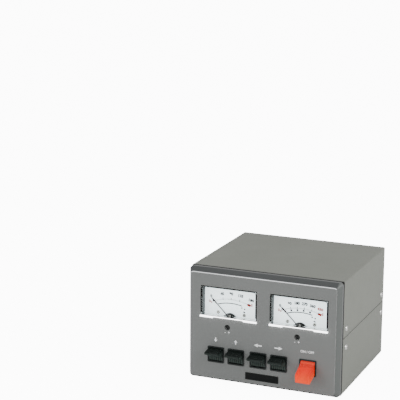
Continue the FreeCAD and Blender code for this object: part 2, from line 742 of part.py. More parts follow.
def trimmer_body(x):
    """Small potentiometer on the back of the front wall."""
    bore = rod_y(x, TRIM_Z, TRIM_STEM_R + PIN_FIT, WALL_BACK - 1, WALL_BACK + TRIM_BODY_L - 1)
    return rod_y(x, TRIM_Z, TRIM_BODY_R, WALL_BACK, WALL_BACK + TRIM_BODY_L).cut(bore)


def slotted(x, z, r, y_face, y_back, stem_r, y_stem, slot_w, slot_d):
    """Slotted screwdriver adjuster: a disc with a stem. Its face may point to -Y or +Y."""
    out = 1 if y_face > y_back else -1
    disc = rod_y(x, z, r, min(y_face, y_back), max(y_face, y_back))
    stem = rod_y(x, z, stem_r, min(y_back, y_stem), max(y_back, y_stem))
    a = y_face + out
    b = y_face - out * slot_d
    slot = box(x - slot_w / 2, x + slot_w / 2, min(a, b), max(a, b), z - r, z + r)
    return disc.cut(slot).fuse(stem)


def trimmer_rotor(x):
    """Slotted rotor seen through the hole in the face."""
    return slotted(x, TRIM_Z, TRIM_ROTOR_R, TRIM_ROTOR_Y, WALL_BACK - PIN_FIT, TRIM_STEM_R,
                   WALL_BACK + TRIM_STEM_L, TRIM_SLOT_W, TRIM_SLOT_D)


def badge_plate():
    """Plain black plate stuck on the face."""
    return rounded_block(BADGE_X - BADGE_W / 2, BADGE_X + BADGE_W / 2, BADGE_Z - BADGE_H / 2,
                         BADGE_Z + BADGE_H / 2, 0.4, -BADGE_T, 0)


def strip_places(x):
    """Centres of one strip's terminals."""
    first = x - (STRIP_WAYS - 1) * STRIP_PITCH / 2
    return [first + i * STRIP_PITCH for i in range(STRIP_WAYS)]


def terminal_strip(x):
    """Barrier strip: a base with a rib on each side of every terminal."""
    half = STRIP_WAYS * STRIP_PITCH / 2 + STRIP_RIB_T / 2
    z0 = STRIP_Z - STRIP_H / 2
    z1 = STRIP_Z + STRIP_H / 2
    base = box(x - half, x + half, REAR_Y, REAR_Y + STRIP_BASE_T, z0, z1)
    top = REAR_Y + STRIP_BASE_T + STRIP_RIB_D
    ribs = []
    for i in range(STRIP_WAYS + 1):
        rx = x + (i - STRIP_WAYS / 2) * STRIP_PITCH
        ribs.append(box(rx - STRIP_RIB_T / 2, rx + STRIP_RIB_T / 2, REAR_Y, top, z0, z1))
    y_face = REAR_Y + STRIP_BASE_T
    holes = [rod_y(tx, STRIP_Z, STRIP_SCREW_R, y_face - STRIP_SCREW_L, y_face + 1) for tx in strip_places(x)]
    return base.fuse(ribs).cut(holes)


def terminal_screw(x):
    """Slotted screw of one terminal."""
    y_face = REAR_Y + STRIP_BASE_T
    top = y_face + STRIP_SCREW_HEAD_H
    head = rod_y(x, STRIP_Z, STRIP_SCREW_HEAD_R, y_face, top)
    r = STRIP_SCREW_HEAD_R
    slot = box(x - r, x + r, top - 0.8, top + 1, STRIP_Z - 0.4, STRIP_Z + 0.4)
    return head.cut(slot).fuse(rod_y(x, STRIP_Z, STRIP_SCREW_R, y_face - STRIP_SCREW_L, y_face))


def round_socket():
    """Round multi-pin socket with a flange behind the panel's outer face."""
    x, z = SOCKET_X, SOCKET_Z
    face = REAR_Y + SOCKET_FLANGE_T
    flange = box(x - SOCKET_FLANGE_W / 2, x + SOCKET_FLANGE_W / 2, REAR_Y, face,
                 z - SOCKET_FLANGE_H / 2, z + SOCKET_FLANGE_H / 2)
    shell = rod_y(x, z, SOCKET_SHELL_R, face - SOCKET_L, face)
    socket = flange.fuse(shell).cut(rod_y(x, z, SOCKET_BORE_R, face - SOCKET_BORE_D, face + 1))
    pins = []
    for i in range(SOCKET_PINS):
        a = 2 * math.pi * i / SOCKET_PINS
        px = x + SOCKET_PIN_RING * math.cos(a)
        pz = z + SOCKET_PIN_RING * math.sin(a)
        pins.append(rod_y(px, pz, SOCKET_PIN_R, face - SOCKET_BORE_D, face - SOCKET_BORE_D + SOCKET_PIN_L))
    return socket.fuse(pins)


def adjuster_body(x):
    """Potentiometer body on the inner face of the rear panel."""
    h = ADJUST_BODY / 2
    body = box(x - h, x + h, PANEL_Y - ADJUST_BODY_L, PANEL_Y, ADJUST_Z - h, ADJUST_Z + h)
    return body.cut(rod_y(x, ADJUST_Z, ADJUST_STEM_R + PIN_FIT, PANEL_Y - ADJUST_STEM_L - 1, PANEL_Y + 1))


def adjuster_rotor(x):
    """Slotted shaft end that stands a little proud of the rear panel."""
    return slotted(x, ADJUST_Z, ADJUST_ROTOR_R, REAR_Y + ADJUST_PROUD, PANEL_Y + PIN_FIT, ADJUST_STEM_R,
                   PANEL_Y - ADJUST_STEM_L, ADJUST_SLOT_W, ADJUST_SLOT_D)


def fuse_holder():
    """Tube through the rear panel, open at the back for the cap."""
    x, z = FUSE_X, FUSE_Z
    face = REAR_Y + FUSE_FLANGE_T
    tube = rod_y(x, z, FUSE_BODY_R, face - FUSE_BODY_L, face)
    flange = rod_y(x, z, FUSE_FLANGE_R, REAR_Y, face)
    return tube.fuse(flange).cut(rod_y(x, z, FUSE_BORE_R, face - FUSE_BODY_L + FUSE_WALL, face + 1))


def fuse_cap():
    """Turning cap with a neck in the holder and a coin slot."""
    x, z = FUSE_X, FUSE_Z
    face = REAR_Y + FUSE_FLANGE_T
    neck = rod_y(x, z, FUSE_BORE_R - FUSE_CAP_FIT, face - FUSE_NECK_L, face + 1)
    knob = rod_y(x, z, FUSE_CAP_R, face + FUSE_CAP_FIT, face + FUSE_CAP_T)
    slot = box(x - FUSE_CAP_R, x + FUSE_CAP_R, face + FUSE_CAP_T - 1.5, face + FUSE_CAP_T + 1,
               z - 0.8, z + 0.8)
    seat = rod_y(x, z, FUSE_R, face - FUSE_NECK_L - 1, face - FUSE_NECK_L + FUSE_GRIP_D)
    return neck.fuse(knob).cut([slot, seat])


def fuse_tube():
    """Cartridge fuse held in the cap's neck."""
    face = REAR_Y + FUSE_FLANGE_T
    y1 = face - FUSE_NECK_L + FUSE_GRIP_D
    return rod_y(FUSE_X, FUSE_Z, FUSE_R, y1 - FUSE_L, y1)


def cord_gland():
    """Strain-relief bush in the rear panel, bored for a mains cord."""
    x, z = GLAND_X, GLAND_Z
    face = REAR_Y + GLAND_FLANGE_T
    bush = rod_y(x, z, GLAND_HOLE_R, REAR_Y - GLAND_L, face)
    flange = rod_y(x, z, GLAND_FLANGE_R, REAR_Y, face)
    return bush.fuse(flange).cut(rod_y(x, z, GLAND_BORE_R, REAR_Y - GLAND_L - 1, face + 1))


def transformer_core():
    """Stack of E and I plates: three legs with two windows between them."""
    x, y = CORE_X, CORE_Y
    core = box(x - CORE_W / 2, x + CORE_W / 2, y - CORE_D / 2, y + CORE_D / 2, FLOOR_Z, FLOOR_Z + CORE_H)
    mid = FLOOR_Z + CORE_H / 2
    gaps = []
    for side in (-1, 1):
        a = x + side * LEG_W / 2
        b = a + side * WINDOW_GAP_W
        gaps.append(box(min(a, b), max(a, b), y - CORE_D, y + CORE_D,
                        mid - WINDOW_GAP_H / 2, mid + WINDOW_GAP_H / 2))
    return core.cut(gaps)


def transformer_winding():
    """Coil round the middle leg, through both windows."""
    x, y = CORE_X, CORE_Y
    mid = FLOOR_Z + CORE_H / 2
    z0 = mid - WINDOW_GAP_H / 2 + COIL_FIT
    z1 = mid + WINDOW_GAP_H / 2 - COIL_FIT
    half = LEG_W / 2 + WINDOW_GAP_W - COIL_FIT
    deep = CORE_D / 2 + COIL_OVERHANG
    coil = box(x - half, x + half, y - deep, y + deep, z0, z1)
    hole = box(x - LEG_W / 2, x + LEG_W / 2, y - CORE_D / 2, y + CORE_D / 2, z0 - 1, z1 + 1)
    return coil.cut(hole)


def transformer_bracket():
    """Strap over the core with a foot on each side."""
    x, y = CORE_X, CORE_Y
    out = CORE_W / 2 + STRAP_T
    top = FLOOR_Z + CORE_H + STRAP_T
    y0 = y - STRAP_D / 2
    y1 = y + STRAP_D / 2
    strap = box(x - out, x + out, y0, y1, FLOOR_Z, top)
    strap = strap.fuse(box(x - out - STRAP_FOOT, x + out + STRAP_FOOT, y0, y1, FLOOR_Z, FLOOR_Z + STRAP_T))
    strap = strap.cut(box(x - CORE_W / 2, x + CORE_W / 2, y0 - 1, y1 + 1, FLOOR_Z - 1, FLOOR_Z + CORE_H))
    return strap.cut([rod_z(x + s * strap_foot_x(), y, STRAP_SCREW_R, 0, top) for s in (-1, 1)])


def transformer_screw(side):
    """Screw down through a strap foot into the tray."""
    x = CORE_X + side * strap_foot_x()
    z = FLOOR_Z + STRAP_T
    head = rod_z(x, CORE_Y, STRAP_SCREW_HEAD_R, z, z + STRAP_SCREW_HEAD_H)
    return head.fuse(rod_z(x, CORE_Y, STRAP_SCREW_R, FLOOR_Z - SHEET, z))


def main_board():
    """Circuit board on four standoffs."""
    z = FLOOR_Z + STANDOFF_H
    return box(BOARD_X0, BOARD_X1, BOARD_Y0, BOARD_Y1, z, z + BOARD_T)


def board_top():
    """Level of the board's upper face."""
    return FLOOR_Z + STANDOFF_H + BOARD_T


def relay(i):
    """One sealed relay on the board."""
    y = RELAY_Y + i * RELAY_PITCH
    z = board_top()
    return box(RELAY_X - RELAY_D / 2, RELAY_X + RELAY_D / 2, y - RELAY_W / 2, y + RELAY_W / 2, z, z + RELAY_H)


def filter_capacitor(inset):
    """Upright sleeved can on the board."""
    return rod_z(FILTER_X, BOARD_Y1 - inset, FILTER_R, board_top(), board_top() + FILTER_H)


def motor_capacitor(x):
    """Upright can with two lugs on top, on the tray's floor."""
    can = rod_z(x, CAN_Y, CAN_R, FLOOR_Z, FLOOR_Z + CAN_H)
    top = FLOOR_Z + CAN_H
    return can.fuse([rod_z(x + s * CAN_LUG_DX, CAN_Y, CAN_LUG_R, top, top + CAN_LUG_H) for s in (-1, 1)])


def save_case():
    """Case, front, feet and their screws."""
    save("upper_cover", upper_cover())
    save("lower_cover", lower_cover())
    save("chassis_tray", chassis_tray())
    save("front_frame", front_frame())
    save("front_wall", front_wall())
    save("face_plate", face_plate())
    save("badge_plate", badge_plate())
    save("rear_panel", rear_panel())
    save("side_blocks", group([side_block(side) for side in (-1, 1)]))
    screws = [cover_screw(*place) for place in cover_screw_places()]
    save("case_screws", group(screws + [panel_screw(side) for side in (-1, 1)]))
    save("feet", group([foot(*place) for place in foot_places()]))


def save_meters():
    """Both dial meters."""
    for name, x in zip(("left", "right"), METER_X):
        save("meter_case_" + name, meter_case(x))
        save("meter_window_" + name, meter_window(x))
        save("meter_dial_" + name, meter_dial(x))
        save("meter_movement_" + name, meter_movement(x))
        save("meter_hood_" + name, meter_hood(x))
        save("meter_needle_" + name, meter_needle(x))
    save("meter_lamps", group([meter_lamp(x) for x in METER_X]))
    save("dial_screws", group([dial_screw(x, s) for x in METER_X for s in (-1, 1)]))


def save_controls():
    """Switches and trimmers on the front."""
    for name, x in zip(SWITCH_NAMES, SWITCH_X):
        save("switch_body_" + name, switch_body(x))
        save("paddle_" + name, spring_paddle(x))
    save("switch_body_power", switch_body(POWER_X))
    save("paddle_power", power_paddle(POWER_X))
    for name, x in zip(("left", "right"), TRIM_X):
        save("trimmer_rotor_" + name, trimmer_rotor(x))
    save("trimmer_bodies", group([trimmer_body(x) for x in TRIM_X]))


def save_rear():
    """Connections and adjusters on the rear panel."""
    for name, x in zip(("left", "right"), STRIP_X):
        save("terminal_strip_" + name, terminal_strip(x))
    save("terminal_screws", group([terminal_screw(tx) for x in STRIP_X for tx in strip_places(x)]))
    save("round_socket", round_socket())
    save("adjuster_bodies", group([adjuster_body(x) for x in ADJUST_X]))
    for i, x in enumerate(ADJUST_X):
        save("adjuster_rotor_" + str(i + 1), adjuster_rotor(x))
    save("fuse_holder", fuse_holder())
    save("fuse_cap", fuse_cap())
    save("fuse_tube", fuse_tube())
    save("cord_gland", cord_gland())


def save_inside():
    """Transformer, board and capacitors."""
    save("transformer_core", transformer_core())
    save("transformer_winding", transformer_winding())
    save("transformer_bracket", transformer_bracket())
    save("transformer_screws", group([transformer_screw(s) for s in (-1, 1)]))
    save("main_board", main_board())
    posts = [rod_z(x, y, STANDOFF_R, FLOOR_Z, FLOOR_Z + STANDOFF_H) for x, y in standoff_places()]
    save("board_standoffs", group(posts))
    save("relays", group([relay(i) for i in range(RELAY_COUNT)]))
    save("filter_capacitors", group([filter_capacitor(inset) for inset in FILTER_IN_Y]))
    save("motor_capacitors", group([motor_capacitor(x) for x in CAN_X]))


os.makedirs("parts", exist_ok=True)
save_case()
save_meters()
save_controls()
save_rear()
save_inside()
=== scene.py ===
import json
import math

import bmesh
import bpy
import numpy as np
from mathutils import Euler, Matrix, Vector

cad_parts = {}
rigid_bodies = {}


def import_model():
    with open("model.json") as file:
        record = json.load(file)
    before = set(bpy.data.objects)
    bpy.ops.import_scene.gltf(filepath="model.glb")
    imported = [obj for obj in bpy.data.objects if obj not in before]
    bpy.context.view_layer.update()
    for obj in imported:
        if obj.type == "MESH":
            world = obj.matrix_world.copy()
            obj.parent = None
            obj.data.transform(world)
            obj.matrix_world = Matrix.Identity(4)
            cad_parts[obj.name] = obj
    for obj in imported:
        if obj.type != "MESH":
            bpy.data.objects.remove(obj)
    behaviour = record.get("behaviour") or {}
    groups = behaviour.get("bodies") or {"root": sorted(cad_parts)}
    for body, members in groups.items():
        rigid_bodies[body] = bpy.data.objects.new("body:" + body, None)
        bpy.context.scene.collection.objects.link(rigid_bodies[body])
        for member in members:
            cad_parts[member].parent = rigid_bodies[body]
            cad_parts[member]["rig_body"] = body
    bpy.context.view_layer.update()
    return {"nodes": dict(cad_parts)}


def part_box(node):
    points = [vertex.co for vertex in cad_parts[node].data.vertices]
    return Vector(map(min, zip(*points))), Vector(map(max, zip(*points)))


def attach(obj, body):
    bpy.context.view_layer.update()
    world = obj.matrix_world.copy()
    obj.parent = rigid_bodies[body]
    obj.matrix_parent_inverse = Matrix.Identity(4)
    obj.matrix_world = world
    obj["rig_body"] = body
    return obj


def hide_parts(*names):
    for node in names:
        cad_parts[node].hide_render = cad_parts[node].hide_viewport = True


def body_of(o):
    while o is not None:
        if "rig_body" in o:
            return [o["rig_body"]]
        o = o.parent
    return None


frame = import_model()
MM = 0.001

# Camera: the photograph's place, direction and field of view
CAMERA_PLACE = (0.56212, -1.606148, 0.615742)
CAMERA_AZIMUTH = 23.102
CAMERA_ELEVATION = 12.932
CAMERA_ROLL = 0.293
CAMERA_LENS = 123.453
SENSOR = 36.0

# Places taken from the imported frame
FACE_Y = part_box("face_plate")[0][1]
DIAL_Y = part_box("meter_dial_left")[0][1]
WINDOWS = {name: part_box("meter_window_" + name) for name in ("left", "right")}
SWITCHES = ("down", "up", "left", "right")

COVER_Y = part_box("upper_cover")[0][1]
SEAM_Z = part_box("upper_cover")[0][2]
SWITCH_Z = (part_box("switch_body_up")[0][2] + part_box("switch_body_up")[1][2]) / 2
RIM_Y = FACE_Y + 8.0 * MM
GAP_Y = FACE_Y + 12.1 * MM
SLOPE_RIGHT_X = 95.0 * MM

# Mesh handling: when points are the same, and which edges are smooth, merged or rounded
MERGE = 1e-7
KEYS_PER_METRE = 1e7
SHARP_ANGLE = math.radians(35)
FLAT_ANGLE = math.radians(0.3)
BEVEL_ANGLE = math.radians(30)
BEVEL_SEGMENTS = 2

# Windows, in millimetres: the pane, and the dark wall between it and the dial
PANE_HALF_W = 36.95
PANE_HALF_H = 18.65
PANE_SQUARENESS = 0.08
PANE_POINTS = 96
PANE_T = 1.6
PANE_WALL = 1.2
PANE_BORDER = 8.0
PANE_EDGE = ((0.0, 0.5), (0.15, 0.15), (0.5, 0.0))
WALL_HALF_W = 35.70
WALL_T = 0.35
WALL_LOW = 17.35
WALL_CUT = 18.3
WALL_FRONT = 1.8
WALL_BACK = 9.9

# Painted shade drawn round a window as a dark line: its outline's half width, bottom and top, and its widths
LINE_HALF_W = 37.1
LINE_BOTTOM = -19.35
LINE_TOP = 17.7
LINE_TOP_W = 1.3
LINE_SIDE_W = 0.5
LINE_BOTTOM_W = 0.9

# Sill: a white bar whose middle stretch is thinner, made bright by a glow that is a painted highlight
SILL_TOP = -19.3
SILL_THICK_FROM = 19.6
SILL_STEP = 0.8
SILL_THIN = 1.3
SILL_HALF_Y = 0.95
SILL_Y = 1.0
SILL_SQUARENESS = 0.35

# Print on the dials, in millimetres and degrees about the centre of the arcs
DIAL_MID_Z = WINDOWS["left"][1][2] - PANE_HALF_H * MM
ARC_CENTRE = -61.5
ARC_LINE_R = 58.3
ARC_LINE_W = 1.2
ARC_LINE_SPAN = (-18, 14)
TICK_R = 62.6
TICK_SPAN = 23.0
TICKS = 37
FIGURE_R = {"left": 70.3, "right": 69.5}
FIGURE_SIZE = 4.6 * MM
RED_R = 64.2
RED_FIGURES = ((-26.8, "0"), (24.6, "5"))
PRINT_LIFT = 0.04 * MM

# Needles and hoods: places and half widths along the blade, (radius, depth) steps of the hub and arbor,
# and (share of the radius, depth) steps of the hood's dome
PIVOT_DZ = -23.8
NEEDLE_REST = -45.6
NEEDLE_ALONG = (-2.6, 0.0, 8.0, 24.0, 29.0, 33.0, 37.1)
NEEDLE_HALF = (0.7, 0.7, 0.55, 0.5, 0.75, 0.9, 0.12)
NEEDLE_FRONT = 8.6
NEEDLE_BACK = 9.1
HUB_STEPS = ((2.0, 8.0), (2.0, 10.0), (0.6, 10.0), (0.6, 30.0))
HOOD_R = 9.6
HOOD_DROP = 0.5
HOOD_STEPS = ((1.0, 7.6), (1.0, 6.6), (0.96, 6.1), (0.85, 5.7), (0.5, 5.4), (0.001, 5.3))
POST_DX = 6.2
POST_DZ = 0.8
POST_R = 1.0
POST_SPAN = (7.4, 10.5)
SPOT_RISE = 6.0
SPOT_HALF_W = 1.5
SPOT_HALF_H = 1.1
SPOT_DEPTH = 5.2

# Print on the face and the rear, painted shade round the trimmers and a painted highlight along the face
# plate's top
ARROW_BODY = ((-0.16, -0.5), (0.16, -0.5), (0.16, 0.02), (0.5, 0.02), (0, 0.5), (-0.5, 0.02), (-0.16, 0.02))
ARROW_W = 4.6 * MM
ARROW_L = {"down": 5.6 * MM, "up": 5.6 * MM, "left": 10.5 * MM, "right": 10.5 * MM}
ARROW_TURN = {"down": 180, "up": 0, "left": 270, "right": 90}
ARROW_RISE = 9.0 * MM
WORDS_RISE = 9.6 * MM
TERMINALS = 6
ADJUSTERS = 4
REAR_FIGURE = 4.0 * MM
SHADE_RING_RADII = (2.9, 3.5)
PLATE_CORNER_R = 3.0
PLATE_LINE = (0.05, 0.95)

# Stage and light
FLOOR_HALF = 12.0
FLOOR_GLOW = 11.0
SKY_STRENGTH = 0.75
LAMPS = {
    "right_lamp": ((1.6, -0.7, 1.1), (0, 0.1, 0.07), 1.2, 20),
    "left_lamp": ((-1.3, -1.8, 0.7), (0, 0, 0.05), 1.0, 16),
}


def node_body(node):
    """Name of the body that a CAD node rides on."""
    return body_of(frame["nodes"][node])[0]


def new_object(name, mesh, body, material):
    """Puts a mesh in the scene on a body, with its material."""
    piece = bpy.data.objects.new(name, mesh)
    bpy.context.scene.collection.objects.link(piece)
    mesh.materials.clear()
    mesh.materials.append(material)
    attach(piece, body)
    return piece


def mesh_from(name, points, faces, smooth=True):
    """Mesh from an array of points and a list of faces."""
    mesh = bpy.data.meshes.new(name)
    mesh.from_pydata(np.asarray(points, float).reshape(-1, 3).tolist(), [], faces)
    mesh.update()
    if smooth:
        mesh.shade_smooth()
        mesh.set_sharp_from_angle(angle=SHARP_ANGLE)
    return mesh


def grid_faces(rows, columns, wrap_rows=False, wrap_columns=False):
    """Quads over a grid of rows x columns points, closed round where asked."""
    r = np.arange(rows if wrap_rows else rows - 1)
    c = np.arange(columns if wrap_columns else columns - 1)
    a, b = np.meshgrid(r, c, indexing="ij")
    nr = (a + 1) % rows
    nc = (b + 1) % columns
    quads = np.stack([a * columns + b, nr * columns + b, nr * columns + nc, a * columns + nc], axis=-1)
    return quads.reshape(-1, 4).tolist()


def outward(mesh):
    """Merges doubled points, then turns every face outwards."""
    work = bmesh.new()
    work.from_mesh(mesh)
    bmesh.ops.remove_doubles(work, verts=work.verts, dist=MERGE)
    bmesh.ops.recalc_face_normals(work, faces=work.faces)
    work.to_mesh(mesh)
    work.free()
    return mesh


def softened(node, width, material):
    """Copy of a CAD node with its sharp edges rounded by a bevel of the given width."""
    source = frame["nodes"][node]
    data = source.data
    points = np.empty(len(data.vertices) * 3)
    data.vertices.foreach_get("co", points)
    points = points.reshape(-1, 3)
    corners = np.empty(len(data.polygons) * 3, dtype=np.int64)
    data.polygons.foreach_get("vertices", corners)
    keys = np.round(points * KEYS_PER_METRE).astype(np.int64)
    first, inverse = np.unique(keys, axis=0, return_index=True, return_inverse=True)[1:]
    triangles = inverse.reshape(-1)[corners].reshape(-1, 3)
    a, b, c = triangles.T
    keep = (a != b) & (b != c) & (a != c)
    mesh = mesh_from(node + "_soft", points[first], triangles[keep].tolist(), smooth=False)
    work = bmesh.new()
    work.from_mesh(mesh)
    bmesh.ops.dissolve_limit(work, angle_limit=FLAT_ANGLE, verts=work.verts, edges=work.edges)
    work.to_mesh(mesh)
    work.free()
    mesh.shade_smooth()
    piece = new_object(node + "_soft", mesh, node_body(node), material)
    bevel = piece.modifiers.new("edge", "BEVEL")
    bevel.width = width
    bevel.segments = BEVEL_SEGMENTS
    bevel.limit_method = "ANGLE"
    bevel.angle_limit = BEVEL_ANGLE
    bevel.harden_normals = True
    bevel.use_clamp_overlap = True
    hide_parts(node)


def middle(node, axis):
    """Middle of a CAD node's box along an axis (0, 1 or 2), in metres."""
    lo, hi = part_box(node)
    return (lo[axis] + hi[axis]) / 2


def circle(mid_x, mid_z, radius, depth, turn):
    """Arc facing the front, at angles turn in radians; radius and depth behind the face in millimetres."""
    x = mid_x + radius * MM * np.cos(turn)
    z = mid_z + radius * MM * np.sin(turn)
    return np.stack([x, np.full(turn.size, FACE_Y + depth * MM), z], axis=-1)


def full_turn(count):
    """Angles once round, without the last one doubled."""
    return np.linspace(0, 2 * np.pi, count, endpoint=False)


def squared(wave, power):
    """Sine or cosine values pushed towards -1 and 1 by a power below 1, which squares an ellipse."""
    return np.sign(wave) * np.abs(wave) ** power


# Shader groups

def group(name, inputs, outputs):
    """Empty shader node group with named sockets; inputs give their defaults."""
    tree = bpy.data.node_groups.new(name, "ShaderNodeTree")
    for label, kind, default in inputs:
        socket = tree.interface.new_socket(label, in_out="INPUT", socket_type=kind)
        socket.default_value = default
    for label, kind in outputs:
        tree.interface.new_socket(label, in_out="OUTPUT", socket_type=kind)
    return tree, tree.nodes.new("NodeGroupInput"), tree.nodes.new("NodeGroupOutput")


def math_node(tree, operation, a, b=None, clamp=False):
    """Math node; each operand is a socket or a number."""
    node = tree.nodes.new("ShaderNodeMath")
    node.operation = operation
    node.use_clamp = clamp
    for i, operand in enumerate((a, b)):
        if operand is None:
            continue
        if isinstance(operand, (int, float)):
            node.inputs[i].default_value = operand
        else:
            tree.links.new(operand, node.inputs[i])
    return node.outputs[0]


def grain_group():
    """Fine moulded or sprayed grain: two sizes of noise added, as a height from 0 to 1."""
    tree, given, out = group("fine_grain",
                             [("Scale", "NodeSocketFloat", 900.0), ("Coarse", "NodeSocketFloat", 0.3)],
                             [("Height", "NodeSocketFloat")])
    coords = tree.nodes.new("ShaderNodeTexCoord")
    noises = []
    for factor in (1.0, 0.27):
        noise = tree.nodes.new("ShaderNodeTexNoise")
        noise.inputs["Detail"].default_value = 2.0
        tree.links.new(coords.outputs["Object"], noise.inputs["Vector"])
        tree.links.new(math_node(tree, "MULTIPLY", given.outputs["Scale"], factor), noise.inputs["Scale"])
        noises.append(noise.outputs["Fac"])
    coarse = math_node(tree, "MULTIPLY", noises[1], given.outputs["Coarse"])
    tree.links.new(math_node(tree, "ADD", noises[0], coarse), out.inputs["Height"])
    return tree


def mottle_group():
    """Slow uneven patches, from 0 to 1, for colour and gloss that vary over a surface."""
    tree, given, out = group("mottle", [("Scale", "NodeSocketFloat", 12.0)], [("Value", "NodeSocketFloat")])
    coords = tree.nodes.new("ShaderNodeTexCoord")
    noise = tree.nodes.new("ShaderNodeTexNoise")
    noise.inputs["Detail"].default_value = 3.0
    noise.inputs["Roughness"].default_value = 0.6
    tree.links.new(coords.outputs["Object"], noise.inputs["Vector"])
    tree.links.new(given.outputs["Scale"], noise.inputs["Scale"])
    ramp = tree.nodes.new("ShaderNodeMapRange")
    ramp.inputs["From Min"].default_value = 0.3
    ramp.inputs["From Max"].default_value = 0.7
    tree.links.new(noise.outputs["Fac"], ramp.inputs["Value"])
    tree.links.new(ramp.outputs["Result"], out.inputs["Value"])
    return tree


def wear_group():
    """Mask of exposed edges, for a colour that is partly wear and partly painted highlight: where the rounded
    normal leaves the true one, broken up by noise.
    """
    tree, given, out = group("edge_rub_and_highlight_mask",
                             [("Radius", "NodeSocketFloat", 0.0006), ("Amount", "NodeSocketFloat", 0.5)],
                             [("Mask", "NodeSocketFloat")])
    bevel = tree.nodes.new("ShaderNodeBevel")
    bevel.samples = 4
    tree.links.new(given.outputs["Radius"], bevel.inputs["Radius"])
    shape = tree.nodes.new("ShaderNodeNewGeometry")
    dot = tree.nodes.new("ShaderNodeVectorMath")
    dot.operation = "DOT_PRODUCT"
    tree.links.new(bevel.outputs["Normal"], dot.inputs[0])
    tree.links.new(shape.outputs["Normal"], dot.inputs[1])
    off = math_node(tree, "SUBTRACT", 1.0, dot.outputs["Value"])
    coords = tree.nodes.new("ShaderNodeTexCoord")
    noise = tree.nodes.new("ShaderNodeTexNoise")
    noise.inputs["Scale"].default_value = 160.0
    tree.links.new(coords.outputs["Object"], noise.inputs["Vector"])
    broken = math_node(tree, "MULTIPLY", math_node(tree, "MULTIPLY", off, noise.outputs["Fac"]), 8.0)
    mask = math_node(tree, "MULTIPLY", broken, given.outputs["Amount"], clamp=True)
    tree.links.new(mask, out.inputs["Mask"])
    return tree


def ramp_group():
    """Mask that rises from 0 to 1 along one axis of the object between two places."""
    tree, given, out = group("axis_ramp",
                             [("Axis", "NodeSocketVector", (0.0, 0.0, 1.0)), ("Low", "NodeSocketFloat", 0.0),
                              ("High", "NodeSocketFloat", 0.01)], [("Mask", "NodeSocketFloat")])
    coords = tree.nodes.new("ShaderNodeTexCoord")
    dot = tree.nodes.new("ShaderNodeVectorMath")
    dot.operation = "DOT_PRODUCT"
    tree.links.new(coords.outputs["Object"], dot.inputs[0])
    tree.links.new(given.outputs["Axis"], dot.inputs[1])
    fade = tree.nodes.new("ShaderNodeMapRange")
    tree.links.new(dot.outputs["Value"], fade.inputs["Value"])
    tree.links.new(given.outputs["Low"], fade.inputs["From Min"])
    tree.links.new(given.outputs["High"], fade.inputs["From Max"])
    tree.links.new(fade.outputs["Result"], out.inputs["Mask"])
    return tree


GRAIN = grain_group()
MOTTLE = mottle_group()
RUB_AND_HIGHLIGHT = wear_group()
RAMP = ramp_group()
AXES = {"x": (1.0, 0.0, 0.0), "y": (0.0, 1.0, 0.0), "z": (0.0, 0.0, 1.0)}


def placed(tree, kind, **values):
    """A shared group placed in a material with its own values."""
    node = tree.nodes.new("ShaderNodeGroup")
    node.node_tree = kind
    for label, value in values.items():
        node.inputs[label].default_value = value
    return node.outputs[0]


def mixed(tree, mask, a, b):
    """Colour between a and b by a mask; each is a socket or three numbers."""
    node = tree.nodes.new("ShaderNodeMix")
    node.data_type = "RGBA"
    for socket, value in ((node.inputs[6], a), (node.inputs[7], b)):
        if isinstance(value, tuple):
            socket.default_value = (*value, 1.0)
        else:
            tree.links.new(value, socket)
    tree.links.new(mask, node.inputs[0])
    return node.outputs[2]


def surface(name, colour, rough, metal=0.0, grain=0.0, grain_scale=900.0, uneven=0.06, rubbed_edge_and_highlight=None,
            specular=0.5, emission=0.0, ramps=()):
    """Principled material: patchy colour and gloss, a grain in relief, and edges turned to another colour,
    partly wear and partly painted highlight.
    Each ramp turns the colour to another one along an axis, from the first place to the second; several ramps
    are painted light and shade."""
    material = bpy.data.materials.new(name)
    material.use_nodes = True
    tree = material.node_tree
    shader = tree.nodes["Principled BSDF"]
    shader.inputs["Metallic"].default_value = metal
    shader.inputs["Specular IOR Level"].default_value = specular
    patches = placed(tree, MOTTLE, Scale=14.0)
    dark = tuple(c * (1 - uneven) for c in colour)
    light = tuple(min(1.0, c * (1 + uneven)) for c in colour)
    tint = mixed(tree, patches, dark, light)
    for axis, low, high, other in ramps:
        tint = mixed(tree, placed(tree, RAMP, Axis=AXES[axis], Low=low, High=high), tint, other)
    # Edges turned to another colour: partly wear, partly painted highlight.
    if rubbed_edge_and_highlight:
        tint = mixed(tree, placed(tree, RUB_AND_HIGHLIGHT, Radius=0.0005, Amount=rubbed_edge_and_highlight[1]), tint, rubbed_edge_and_highlight[0])
    tree.links.new(tint, shader.inputs["Base Color"])
    gloss = tree.nodes.new("ShaderNodeMapRange")
    gloss.inputs["To Min"].default_value = rough * 0.9
    gloss.inputs["To Max"].default_value = min(1.0, rough * 1.12)
    tree.links.new(patches, gloss.inputs["Value"])
    tree.links.new(gloss.outputs["Result"], shader.inputs["Roughness"])
    if grain:
        bump = tree.nodes.new("ShaderNodeBump")
        bump.inputs["Distance"].default_value = 0.00005
        bump.inputs["Strength"].default_value = grain
        tree.links.new(placed(tree, GRAIN, Scale=grain_scale), bump.inputs["Height"])
        tree.links.new(bump.outputs["Normal"], shader.inputs["Normal"])
    if emission:
        tree.links.new(tint, shader.inputs["Emission Color"])
        shader.inputs["Emission Strength"].default_value = emission
    return material


